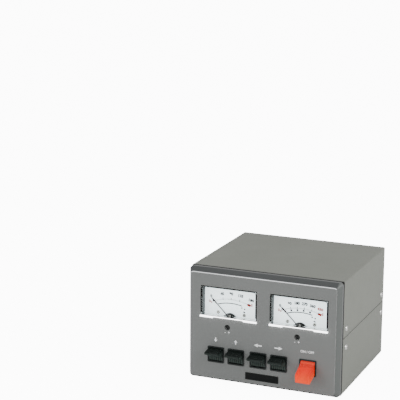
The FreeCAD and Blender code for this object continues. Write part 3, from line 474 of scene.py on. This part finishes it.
def clear_material(name):
    """Clear acrylic: a glossy transmitting shader that lets light and shadow straight through."""
    material = bpy.data.materials.new(name)
    material.use_nodes = True
    tree = material.node_tree
    shader = tree.nodes["Principled BSDF"]
    shader.inputs["Base Color"].default_value = (0.96, 0.98, 0.97, 1.0)
    shader.inputs["Roughness"].default_value = 0.03
    shader.inputs["IOR"].default_value = 1.15
    shader.inputs["Transmission Weight"].default_value = 1.0
    clear = tree.nodes.new("ShaderNodeBsdfTransparent")
    path = tree.nodes.new("ShaderNodeLightPath")
    either = math_node(tree, "MAXIMUM", path.outputs["Is Shadow Ray"], path.outputs["Is Diffuse Ray"])
    mix = tree.nodes.new("ShaderNodeMixShader")
    tree.links.new(either, mix.inputs[0])
    tree.links.new(shader.outputs[0], mix.inputs[1])
    tree.links.new(clear.outputs[0], mix.inputs[2])
    tree.links.new(mix.outputs[0], tree.nodes["Material Output"].inputs["Surface"])
    return material


# Paint and mouldings. Some ramps stand in for shade and gaps: behind the front frame, along the covers'
# front edge and seam, and on the paddles. Dials and sills glow as if lit from behind. The red paddle, the
# white print and the bright plate edge also give off a little light, to come near the photograph.
COVER_COLOUR = (0.196, 0.206, 0.176)
# Cover paint: a dark line along the seam between the covers, and painted shade along the covers' front edge,
# in the gap behind the front frame.
COVER_SEAM_AND_SHADE = surface("cover_paint_seam_and_painted_shade", COVER_COLOUR, 0.44, grain=0.35, grain_scale=1400.0, uneven=0.03,
                 rubbed_edge_and_highlight=((0.42, 0.42, 0.38), 0.3),
                 ramps=(("z", SEAM_Z - 0.45 * MM, SEAM_Z - 0.35 * MM, (0.004, 0.004, 0.004)),
                        ("z", SEAM_Z + 0.35 * MM, SEAM_Z + 0.45 * MM, COVER_COLOUR),
                        ("y", COVER_Y + 2.0 * MM, COVER_Y + 1.7 * MM, (0.01, 0.01, 0.01))))
# Face plate paint; its edges turn pale, partly wear and partly painted highlight.
FACE = surface("face_paint", (0.160, 0.167, 0.163), 0.4, grain=0.12, grain_scale=2200.0, uneven=0.02,
               rubbed_edge_and_highlight=((0.75, 0.76, 0.76), 0.8))
# Front frame moulding with painted light and shade: a painted highlight lightens its right slope and its rim,
# and painted shade turns it black behind the rim, in the gap to the covers.
FRAME_LIGHT_AND_SHADE = surface("frame_grey_painted_light_and_shade", (0.056, 0.060, 0.061), 0.4, grain=0.2, uneven=0.05,
                     rubbed_edge_and_highlight=((0.2, 0.21, 0.21), 0.3),
                     ramps=(("x", SLOPE_RIGHT_X, SLOPE_RIGHT_X + 0.6 * MM, (0.115, 0.125, 0.120)),
                            ("y", RIM_Y - 0.5 * MM, RIM_Y + 0.3 * MM, (0.125, 0.130, 0.130)),
                            ("y", GAP_Y, GAP_Y + 0.1 * MM, (0.002, 0.002, 0.002))))
BLACK = surface("black_moulding", (0.008, 0.011, 0.011), 0.42, grain=0.25, uneven=0.1, specular=0.3,
                rubbed_edge_and_highlight=((0.03, 0.035, 0.035), 0.4))
# Black paddles: painted shade turns their upper part near black.
PADDLE_SHADED = surface("paddle_moulding_painted_shade", (0.036, 0.050, 0.044), 0.5, grain=0.25, uneven=0.1, specular=0.22,
                 rubbed_edge_and_highlight=((0.03, 0.04, 0.036), 0.3),
                 ramps=(("z", SWITCH_Z + 2.0 * MM, SWITCH_Z + 6.5 * MM, (0.001, 0.004, 0.003)),))
DARK_GAP = surface("dark_inside", (0.10, 0.108, 0.108), 0.7, uneven=0.1, specular=0.1)
# Red paddle with painted light and shade: a little glow, and ramps along its height that darken it upwards
# from the bright lower end, darkest just above the middle and a little lighter at the top.
RED_LIGHT_AND_SHADE = surface("red_moulding_painted_light_and_shade", (0.95, 0.062, 0.008), 0.45, grain=0.08, uneven=0.04, specular=0.25,
              emission=0.22,
              ramps=(("z", SWITCH_Z - 8.0 * MM, SWITCH_Z - 1.0 * MM, (0.80, 0.018, 0.002)),
                     ("z", SWITCH_Z + 1.5 * MM, SWITCH_Z + 3.0 * MM, (0.62, 0.020, 0.006)),
                     ("z", SWITCH_Z + 5.0 * MM, SWITCH_Z + 6.5 * MM, (0.80, 0.050, 0.020))))
# White dial with a painted glow that stands in for the light on it.
DIAL_GLOWING = surface("dial_white", (0.82, 0.90, 0.93), 0.55, uneven=0.02, emission=1.75)
# Sill: white, with a strong glow as a painted highlight.
SILL_HIGHLIGHT = surface("sill_painted_highlight", (0.97, 0.97, 0.97), 0.4, uneven=0.01, emission=5.0)
PRINT_BLACK = surface("print_black", (0.010, 0.014, 0.014), 0.7, uneven=0.05, specular=0.1)
PRINT_RED = surface("print_red", (0.62, 0.06, 0.045), 0.7, uneven=0.05, specular=0.1)
# White print with a little glow of painted light.
PRINT_WHITE_GLOWING = surface("print_white_painted_glow", (0.85, 0.86, 0.86), 0.5, uneven=0.03, emission=0.25)
# Painted highlight along the face plate's top edge: a pale strip that glows.
PLATE_EDGE_HIGHLIGHT = surface("plate_edge_painted_highlight", (0.82, 0.83, 0.85), 0.4, uneven=0.08, emission=0.35)
ROTOR_DARK = surface("trimmer_dark", (0.02, 0.022, 0.022), 0.5, uneven=0.1, specular=0.3)
# Black for painted shade round the windows and the trimmer holes.
SHADE_BLACK = surface("painted_shade_black", (0.002, 0.002, 0.002), 0.8, uneven=0.1, specular=0.05)
STEEL = surface("bright_screw", (0.78, 0.78, 0.76), 0.2, metal=1.0, uneven=0.05)
ZINC = surface("plated_sheet", (0.55, 0.55, 0.52), 0.35, metal=1.0, grain=0.1, uneven=0.08)
REAR_PAINT = surface("rear_paint", (0.24, 0.245, 0.215), 0.45, grain=0.3, uneven=0.04)
BADGE = surface("badge_black", (0.004, 0.005, 0.005), 0.5, uneven=0.05, specular=0.15,
                rubbed_edge_and_highlight=((0.2, 0.2, 0.2), 0.3))
RUBBER = surface("foot_rubber", (0.02, 0.02, 0.02), 0.8, grain=0.4, uneven=0.1)
BRASS = surface("brass", (0.7, 0.5, 0.2), 0.3, metal=1.0, uneven=0.08)
NEEDLE = surface("needle_dark", (0.020, 0.010, 0.010), 0.6, uneven=0.05, specular=0.1)
BLUE = surface("blue_moulding", (0.03, 0.10, 0.3), 0.4, grain=0.1, uneven=0.05)
PALE = surface("pale_moulding", (0.45, 0.45, 0.43), 0.45, grain=0.1, uneven=0.05)
DARK_STEEL = surface("varnished_plates", (0.2, 0.2, 0.2), 0.45, metal=0.8, grain=0.5, uneven=0.15)
TAPE = surface("winding_tape", (0.6, 0.42, 0.08), 0.35, grain=0.1, uneven=0.1)
BOARD = surface("circuit_board", (0.30, 0.20, 0.08), 0.4, grain=0.1, uneven=0.1)
SLEEVE = surface("can_sleeve", (0.02, 0.03, 0.09), 0.3, uneven=0.1)
CAN = surface("drawn_can", (0.7, 0.7, 0.7), 0.3, metal=1.0, uneven=0.08)
CLEAR = clear_material("clear_cover")

NODE_FINISH = {
    "chassis_tray": ZINC, "rear_panel": REAR_PAINT, "feet": RUBBER, "side_blocks": ZINC, "meter_lamps": PALE,
    "dial_screws": ZINC, "terminal_screws": STEEL, "round_socket": BLACK, "adjuster_bodies": BLUE,
    "fuse_holder": BLACK, "fuse_cap": BLACK, "fuse_tube": CLEAR, "cord_gland": BLACK, "case_screws": STEEL,
    "transformer_core": DARK_STEEL, "transformer_winding": TAPE, "transformer_bracket": ZINC,
    "transformer_screws": STEEL, "main_board": BOARD, "board_standoffs": BRASS, "relays": BLUE,
    "filter_capacitors": SLEEVE, "motor_capacitors": CAN, "badge_plate": BADGE, "paddle_power": RED_LIGHT_AND_SHADE,
    "upper_cover": COVER_SEAM_AND_SHADE, "lower_cover": COVER_SEAM_AND_SHADE, "front_frame": FRAME_LIGHT_AND_SHADE, "front_wall": FRAME_LIGHT_AND_SHADE,
    "face_plate": FACE,
}
PREFIX_FINISH = {
    "meter_case": DARK_GAP, "meter_window": CLEAR, "meter_dial": DIAL_GLOWING, "meter_movement": DARK_STEEL,
    "meter_hood": BLACK, "meter_needle": NEEDLE, "switch_body": BLACK, "paddle_": PADDLE_SHADED,
    "trimmer_bodies": BLUE, "trimmer_rotor": ROTOR_DARK, "adjuster_rotor": PALE, "terminal_strip": BLACK,
}


def finish_for(node):
    """Material of a CAD node, by its name or the start of it."""
    if node in NODE_FINISH:
        return NODE_FINISH[node]
    for start, material in PREFIX_FINISH.items():
        if node.startswith(start):
            return material
    return BLACK


def dress_nodes():
    """Gives every carried-over CAD node its material."""
    for name, piece in frame["nodes"].items():
        piece.data.materials.clear()
        piece.data.materials.append(finish_for(name))


def soften_shell():
    """Rounded edges on what shows of the case and its fittings; the widths are in millimetres."""
    widths = {"upper_cover": 0.25, "lower_cover": 0.25, "front_frame": 0.3, "face_plate": 0.25,
              "badge_plate": 0.12, "paddle_power": 0.35, "fuse_cap": 0.3, "cord_gland": 0.3, "rear_panel": 0.2,
              "terminal_strip_left": 0.2, "terminal_strip_right": 0.2}
    for name in SWITCHES:
        widths["paddle_" + name] = 0.3
        widths["switch_body_" + name] = 0.2
    widths["switch_body_power"] = 0.2
    for node, width in widths.items():
        softened(node, width * MM, finish_for(node))


# Dials

def dial_point(mid_x, radius, angle):
    """Point on the dial at a radius and angle (degrees, clockwise from up) about the arcs' centre."""
    x = mid_x + radius * np.sin(np.radians(angle)) * MM
    z = DIAL_MID_Z + (ARC_CENTRE + radius * np.cos(np.radians(angle))) * MM
    return x, z


def arc_strip(mid_x, radius, width, start, end, steps=48):
    """Flat ring sector on the dial: the radius runs over the width and the angle from start to end."""
    angle = np.linspace(start, end, steps)
    rows = []
    for r in (radius - width / 2, radius + width / 2):
        x, z = dial_point(mid_x, r, angle)
        rows.append(np.stack([x, np.full(steps, DIAL_Y - PRINT_LIFT), z], axis=-1))
    return np.concatenate(rows), grid_faces(2, steps)


def bars(mid_x, angles, inner, outer, width):
    """Radial bars on the dial, each a quad of the given width between two radii."""
    points = []
    faces = []
    for angle in angles:
        turn = math.radians(angle)
        side = Vector((math.cos(turn), 0, -math.sin(turn))) * width / 2 * MM
        base = len(points)
        for radius, sign in ((inner, -1), (inner, 1), (outer, 1), (outer, -1)):
            x, z = dial_point(mid_x, radius, angle)
            points.append(Vector((x, DIAL_Y - PRINT_LIFT, z)) + side * sign)
        faces.append([base, base + 1, base + 2, base + 3])
    return points, faces


def joined(parts):
    """Several lists of points and faces as one."""
    points = []
    faces = []
    for part_points, part_faces in parts:
        base = len(points)
        points.extend(tuple(p) for p in part_points)
        faces.extend([[base + i for i in face] for face in part_faces])
    return points, faces


def figure(name, text, x, z, size, y, material, turn=0.0, squeeze=1.0, bold=0.0, rear=False):
    """Flat text centred at x and z on the plane y, made a mesh before it is placed. Rear ones face back."""
    curve = bpy.data.curves.new(name, "FONT")
    curve.body = text
    curve.size = size
    curve.offset = bold * size
    curve.align_x = "CENTER"
    curve.align_y = "CENTER"
    curve.resolution_u = 3
    holder = bpy.data.objects.new(name + "_text", curve)
    bpy.context.scene.collection.objects.link(holder)
    mesh = bpy.data.meshes.new_from_object(holder)
    bpy.data.objects.remove(holder)
    count = len(mesh.vertices)
    flat = np.empty(count * 3)
    mesh.vertices.foreach_get("co", flat)
    flat = flat.reshape(-1, 3)
    wide = flat[:, 0] * (-squeeze if rear else squeeze)
    tall = flat[:, 1]
    c, s = math.cos(turn), math.sin(turn)
    placed_points = np.stack([x + wide * c + tall * s, np.full(count, y), z - wide * s + tall * c], axis=-1)
    mesh.vertices.foreach_set("co", placed_points.reshape(-1))
    if rear:
        mesh.flip_normals()
    mesh.update()
    return new_object(name, mesh, "chassis", material)


def dial_print(name, figures, marks):
    """Scale of one meter: figures above a tick row, an arc, red marks at the ends and bold marks."""
    mid_x = middle("meter_window_" + name, 0)
    y = DIAL_Y - PRINT_LIFT
    fine = np.linspace(-TICK_SPAN, TICK_SPAN, TICKS)
    coarse = [angle for angle, text in figures]
    dark = [arc_strip(mid_x, ARC_LINE_R, ARC_LINE_W, *ARC_LINE_SPAN),
            bars(mid_x, fine, TICK_R, TICK_R + 1.6, 0.42),
            bars(mid_x, coarse, TICK_R, TICK_R + 2.8, 0.8),
            bars(mid_x, (14.5, 18.6), 55.0, 56.6, 1.8),
            bars(mid_x, (19.4,), 51.0, 52.6, 2.8)]
    if marks:
        dark.append(bars(mid_x, marks, TICK_R - 2.9, TICK_R - 0.5, 2.3))
    red = [bars(mid_x, (-25.2, 20.2, 21.6, 23.0), RED_R - 2.4, RED_R - 0.4, 1.7),
           arc_strip(mid_x, RED_R, 1.2, 20.0, 24.0, 8)]
    print_piece("dial_scale_" + name, dark, PRINT_BLACK)
    for i, (angle, text) in enumerate(figures):
        x, z = dial_point(mid_x, FIGURE_R[name], angle)
        ink = PRINT_RED if marks and i == len(figures) - 1 else PRINT_BLACK
        figure("dial_figure_%s_%d" % (name, i + 1), text, x, z, FIGURE_SIZE, y, ink,
               turn=math.radians(angle) * 0.5, squeeze=1.05, bold=0.06)
    for i, (angle, text) in enumerate(RED_FIGURES):
        x, z = dial_point(mid_x, RED_R + 0.6, angle)
        figure("dial_red_%s_%d" % (name, i + 1), text, x, z, FIGURE_SIZE, y, PRINT_RED,
               turn=math.radians(angle) * 0.5, squeeze=1.1, bold=0.04)
    print_piece("dial_red_marks_" + name, red, PRINT_RED)


def print_piece(name, parts, ink):
    """Several flat marks as one piece of print."""
    points, faces = joined(parts)
    new_object(name, mesh_from(name, points, faces, False), "chassis", ink)


def needle_piece(name):
    """Pointer blade, hub and arbor, at the left end of the scale. The blade narrows to 1.0 mm wide, swells to
    1.8 mm near the tip and then comes to a point."""
    x0 = middle("meter_window_" + name, 0)
    z0 = DIAL_MID_Z + PIVOT_DZ * MM
    along = np.array(NEEDLE_ALONG) * MM
    half = np.array(NEEDLE_HALF) * MM
    turn = math.radians(NEEDLE_REST)
    rows = []
    for side, depth in ((-1, NEEDLE_FRONT), (1, NEEDLE_FRONT), (1, NEEDLE_BACK), (-1, NEEDLE_BACK)):
        u = side * half
        x = x0 + u * math.cos(turn) + along * math.sin(turn)
        z = z0 - u * math.sin(turn) + along * math.cos(turn)
        rows.append(np.stack([x, np.full(along.size, FACE_Y + depth * MM), z], axis=-1))
    faces = grid_faces(len(rows), along.size, wrap_rows=True)
    for end in (0, along.size - 1):
        faces.append([i * along.size + end for i in range(len(rows))])
    count = 32
    hub = np.concatenate([circle(x0, z0, radius, depth, full_turn(count)) for radius, depth in HUB_STEPS])
    hub_faces = grid_faces(len(HUB_STEPS), count, wrap_columns=True)
    for start in (0, count * (len(HUB_STEPS) - 1)):
        hub_faces.append([start + i for i in range(count)])
    points, all_faces = joined([(np.concatenate(rows), faces), (hub, hub_faces)])
    mesh = outward(mesh_from("needle_" + name, points, all_faces, False))
    piece = new_object("needle_" + name, mesh, node_body("meter_needle_" + name), NEEDLE)
    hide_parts("meter_needle_" + name)


def hood_piece(name):
    """Black domed hood over the needle's hub, a half disc whose face bulges forwards, on two posts."""
    x0 = middle("meter_window_" + name, 0)
    z0 = DIAL_MID_Z + PIVOT_DZ * MM
    half_turn = np.linspace(0, np.pi, 41)
    count = half_turn.size
    dome = np.concatenate([circle(x0, z0 - HOOD_DROP * MM, HOOD_R * share, depth, half_turn)
                           for share, depth in HOOD_STEPS])
    steps = range(len(HOOD_STEPS))
    faces = grid_faces(len(HOOD_STEPS), count)
    faces.append(list(range(count)))
    faces.append([r * count for r in steps] + [r * count + count - 1 for r in reversed(steps)])
    parts = [(dome, faces)]
    corners = 16
    for side in (-1, 1):
        post = [circle(x0 + side * POST_DX * MM, z0 + POST_DZ * MM, POST_R, depth, full_turn(corners))
                for depth in POST_SPAN]
        parts.append((np.concatenate(post), grid_faces(2, corners, wrap_columns=True)))
    points, all_faces = joined(parts)
    mesh = outward(mesh_from("hood_" + name, points, all_faces))
    piece = new_object("hood_" + name, mesh, "chassis", BLACK)
    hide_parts("meter_hood_" + name)
    spot = [(x0 + SPOT_HALF_W * MM * math.cos(t), z0 + SPOT_RISE * MM + SPOT_HALF_H * MM * math.sin(t))
            for t in np.linspace(0, 6.0, 20)]
    flat_shape("hood_spot_" + name, spot, PALE, FACE_Y + SPOT_DEPTH * MM)


# Window covers

def window_pane(name):
    """Clear cover: a flat pane with a rounded rim and thin walls running back towards the dial."""
    lo, hi = WINDOWS[name]
    mid_x = middle("meter_window_" + name, 0)
    depth = (hi[1] - lo[1]) / MM
    turn = full_turn(PANE_POINTS)
    unit_x = squared(np.cos(turn), PANE_SQUARENESS)
    unit_z = squared(np.sin(turn), PANE_SQUARENESS)
    # Each ring is an inset and a depth: outer wall forwards, over the rim, pane, then the inner wall back
    rings = [(0.0, depth), *PANE_EDGE, (PANE_BORDER, 0.0), (PANE_BORDER, PANE_T), (PANE_WALL, PANE_T),
             (PANE_WALL, depth)]
    points = []
    for inset, back in rings:
        x = mid_x + unit_x * (PANE_HALF_W - inset) * MM
        z = DIAL_MID_Z + unit_z * (PANE_HALF_H - inset) * MM
        points.append(np.stack([x, np.full(turn.size, lo[1] + back * MM), z], axis=-1))
    count = turn.size
    faces = grid_faces(len(rings), count, wrap_columns=True)
    # The front and back of the pane are filled flat, and the rear edge joins outer and inner wall
    front = 1 + len(PANE_EDGE)
    back = front + 1
    faces = [f for f in faces if {f[0] // count, f[1] // count} != {front, back}]
    for ring in (front, back):
        faces.append([ring * count + i for i in range(count)])
    last = len(rings) - 1
    for i in range(count):
        after = (i + 1) % count
        faces.append([i, after, last * count + after, last * count + i])
    mesh = outward(mesh_from("window_pane_" + name, np.array(points), faces))
    piece = new_object("window_pane_" + name, mesh, "chassis", CLEAR)
    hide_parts("meter_window_" + name)


def window_sill(name):
    """White sill under a window, with a glow that is a painted highlight: a bar with a rounded section whose
    middle is thinner.
    """
    lo, hi = WINDOWS[name]
    mid_x = middle("meter_window_" + name, 0)
    x = np.linspace(lo[0], hi[0], 120)
    top = DIAL_MID_Z + SILL_TOP * MM
    step = np.clip((np.abs(x - mid_x) - SILL_THICK_FROM * MM) / (SILL_STEP * MM), 0, 1)
    bottom = lo[2] + (1 - step) * SILL_THIN * MM
    mid = (top + bottom) / 2
    half_z = (top - bottom) / 2
    turn = full_turn(24)
    section_y = SILL_HALF_Y * MM * squared(np.cos(turn), SILL_SQUARENESS)
    section_z = squared(np.sin(turn), SILL_SQUARENESS)
    points = np.empty((x.size, turn.size, 3))
    points[..., 0] = x[:, None]
    points[..., 1] = lo[1] + SILL_Y * MM + section_y[None, :]
    points[..., 2] = mid[:, None] + half_z[:, None] * section_z[None, :]
    faces = grid_faces(x.size, turn.size, wrap_columns=True)
    for start in (0, (x.size - 1) * turn.size):
        faces.append([start + i for i in range(turn.size)])
    mesh = outward(mesh_from("window_sill_" + name, points, faces))
    new_object("window_sill_" + name, mesh, "chassis", SILL_HIGHLIGHT)


def window_shade_line(name):
    """Dark line of painted shade on the face plate along a window's top, right and bottom; its top reaches
    over the glass.
    """
    mid_x = middle("meter_window_" + name, 0)
    left = mid_x - LINE_HALF_W * MM
    right = mid_x + LINE_HALF_W * MM
    low = DIAL_MID_Z + LINE_BOTTOM * MM
    high = DIAL_MID_Z + LINE_TOP * MM
    side = LINE_SIDE_W * MM
    above_low = low + LINE_BOTTOM_W * MM
    above_high = high + LINE_TOP_W * MM
    outline = [(left, high), (right - side, high), (right - side, above_low), (left, above_low), (left, low),
               (right + side, low), (right + side, above_high), (left, above_high)]
    flat_shape("window_shade_line_" + name, outline, SHADE_BLACK)


def window_wall(name):
    """Dark wall behind the pane at the left, top and right; its open bottom lets the needle pass."""
    mid_x = middle("meter_window_" + name, 0)
    inner = WALL_HALF_W - WALL_T
    points = []
    for half, depth in ((WALL_HALF_W, WALL_FRONT), (WALL_HALF_W, WALL_BACK), (inner, WALL_BACK),
                        (inner, WALL_FRONT)):
        high = half - WALL_CUT
        for x, z in ((-half, -WALL_LOW), (-half, high), (half, high), (half, -WALL_LOW)):
            points.append((mid_x + x * MM, FACE_Y + depth * MM, DIAL_MID_Z + z * MM))
    faces = grid_faces(4, 4, wrap_rows=True)
    for column in (0, 3):
        faces.append([row * 4 + column for row in range(4)])
    mesh = outward(mesh_from("window_wall_" + name, points, faces, False))
    new_object("window_wall_" + name, mesh, "chassis", DARK_GAP)


# Print on the face, and painted shade and highlight on it

def flat_shape(name, outline, material, y=None):
    """Flat shape from an outline of (x, z) points in metres, such as print and painted shade."""
    height = FACE_Y - PRINT_LIFT if y is None else y
    points = [(x, height, z) for x, z in outline]
    return new_object(name, mesh_from(name, points, [list(range(len(points)))], False), "chassis", material)


def arrow(name, x, z, turn):
    """Printed arrow for one paddle, pointing along turn (degrees clockwise from up)."""
    c = math.cos(math.radians(turn))
    s = math.sin(math.radians(turn))
    outline = []
    for across, along in ARROW_BODY:
        u = across * ARROW_W
        v = along * ARROW_L[name]
        outline.append((x + u * c + v * s, z - u * s + v * c))
    flat_shape("arrow_" + name, outline, PRINT_WHITE_GLOWING)


def face_print():
    """Plain marks: arrows over the paddles, ON and OFF over the power paddle, signs at the trimmers."""
    y = FACE_Y - PRINT_LIFT
    for name in SWITCHES:
        node = "switch_body_" + name
        arrow(name, middle(node, 0) - 0.5 * MM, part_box(node)[1][2] + ARROW_RISE, ARROW_TURN[name])
    node = "switch_body_power"
    figure("power_words", "ON / OFF", middle(node, 0) - 1.0 * MM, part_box(node)[1][2] + WORDS_RISE, 4.2 * MM,
           y, PRINT_WHITE_GLOWING, bold=0.02)
    for name in ("left", "right"):
        node = "trimmer_rotor_" + name
        figure("trim_signs_" + name, "-  +", middle(node, 0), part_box(node)[0][2] - 4.0 * MM, 5.0 * MM, y,
               PRINT_WHITE_GLOWING, bold=0.02)


def rear_print():
    """Plain numbers over the rear terminals, 1 to 6 on each strip, and 1 to 4 under the adjusters."""
    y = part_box("rear_panel")[1][1] + PRINT_LIFT
    for name in ("left", "right"):
        node = "terminal_strip_" + name
        lo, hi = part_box(node)
        pitch = (hi[0] - lo[0]) / TERMINALS
        for i in range(TERMINALS):
            x = middle(node, 0) + ((TERMINALS - 1) / 2 - i) * pitch
            figure("terminal_number_%s_%d" % (name, i + 1), str(i + 1), x, hi[2] + 3.4 * MM, REAR_FIGURE, y,
                   PRINT_BLACK, bold=0.01, rear=True)
    for i in range(ADJUSTERS):
        node = "adjuster_rotor_%d" % (i + 1)
        figure("adjuster_number_%d" % (i + 1), str(i + 1), middle(node, 0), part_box(node)[0][2] - 4.2 * MM,
               REAR_FIGURE, y, PRINT_BLACK, bold=0.01, rear=True)


def plate_line():
    """Painted highlight along the top edge of the face plate: a pale glowing strip along its top outline,
    round the start of both corners.
    """
    lo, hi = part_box("face_plate")
    r = PLATE_CORNER_R * MM
    corners = ((lo[0] + r, 150, 90), (hi[0] - r, 90, 30))
    rows = []
    for inset in PLATE_LINE:
        radius = PLATE_CORNER_R - inset
        rows.append(np.concatenate([circle(x, hi[2] - r, radius, -PRINT_LIFT / MM,
                                           np.radians(np.linspace(first, last, 9)))
                                    for x, first, last in corners]))
    mesh = mesh_from("plate_line", np.concatenate(rows), grid_faces(2, len(rows[0])), False)
    new_object("plate_line", mesh, "chassis", PLATE_EDGE_HIGHLIGHT)


def trimmer_shade_ring(name):
    """Black flat ring of painted shade round a trimmer's hole."""
    node = "trimmer_rotor_" + name
    turn = np.linspace(0, 2 * np.pi, 33)
    rows = [circle(middle(node, 0), middle(node, 2), radius, -PRINT_LIFT / MM, turn) for radius in SHADE_RING_RADII]
    mesh = mesh_from("trimmer_shade_ring_" + name, np.concatenate(rows), grid_faces(2, turn.size), False)
    new_object("trimmer_shade_ring_" + name, mesh, "chassis", SHADE_BLACK)


# Stage, light and camera

def floor_material():
    """White matt surface with a glow that only the camera sees, so that the background comes out white."""
    material = surface("floor_white", (0.96, 0.96, 0.96), 0.9, uneven=0.0)
    tree = material.node_tree
    path = tree.nodes.new("ShaderNodeLightPath")
    glow = math_node(tree, "MULTIPLY", path.outputs["Is Camera Ray"], FLOOR_GLOW)
    shader = tree.nodes["Principled BSDF"]
    shader.inputs["Emission Color"].default_value = (1, 1, 1, 1)
    tree.links.new(glow, shader.inputs["Emission Strength"])
    return material


def build_stage():
    """Pale floor that runs far behind the object."""
    points = [(x * FLOOR_HALF, y * FLOOR_HALF, 0) for x, y in ((-1, -1), (1, -1), (1, 1), (-1, 1))]
    mesh = mesh_from("floor", points, [[0, 1, 2, 3]], False)
    floor = bpy.data.objects.new("floor", mesh)
    bpy.context.scene.collection.objects.link(floor)
    mesh.materials.append(floor_material())


def area_light(name, place, target, size, power):
    """Soft square lamp at a place, turned to a target."""
    lamp = bpy.data.lights.new(name, "AREA")
    lamp.shape = "SQUARE"
    lamp.size = size
    lamp.energy = power
    holder = bpy.data.objects.new(name, lamp)
    holder.location = place
    holder.rotation_euler = (Vector(target) - Vector(place)).to_track_quat("-Z", "Y").to_euler()
    bpy.context.scene.collection.objects.link(holder)


def build_light():
    """Bright pale surroundings with a soft lamp on each side."""
    world = bpy.data.worlds.new("surroundings")
    bpy.context.scene.world = world
    world.use_nodes = True
    sky = world.node_tree.nodes["Background"]
    sky.inputs["Color"].default_value = (1, 1, 1, 1)
    sky.inputs["Strength"].default_value = SKY_STRENGTH
    for name, (place, target, size, power) in LAMPS.items():
        area_light(name, place, target, size, power)


def build_camera():
    """Camera at the photograph's place."""
    camera = bpy.data.cameras.new("camera")
    camera.sensor_width = SENSOR
    camera.lens = CAMERA_LENS
    camera.clip_end = 60.0
    holder = bpy.data.objects.new("camera", camera)
    holder.location = CAMERA_PLACE
    aim = Euler((math.radians(90 - CAMERA_ELEVATION), 0, math.radians(CAMERA_AZIMUTH))).to_matrix()
    holder.rotation_euler = (aim @ Matrix.Rotation(math.radians(CAMERA_ROLL), 3, "Z")).to_euler()
    bpy.context.scene.collection.objects.link(holder)
    bpy.context.scene.camera = holder


dress_nodes()
soften_shell()
dial_print("left", ((-22.8, "0"), (-10.2, "45"), (-0.3, "90"), (9.9, "135"), (21.7, "180")), ())
dial_print("right", ((-23.4, "0"), (-12.7, "90"), (-4.9, "180"), (3.3, "270"), (11.8, "360"), (20.2, "450")),
           (-20.2, -12.4, -4.8, 2.7, 10.5))
for meter in ("left", "right"):
    needle_piece(meter)
    hood_piece(meter)
    window_pane(meter)
    window_sill(meter)
    window_shade_line(meter)
    window_wall(meter)
    trimmer_shade_ring(meter)
plate_line()
face_print()
rear_print()
build_stage()
build_light()
build_camera()
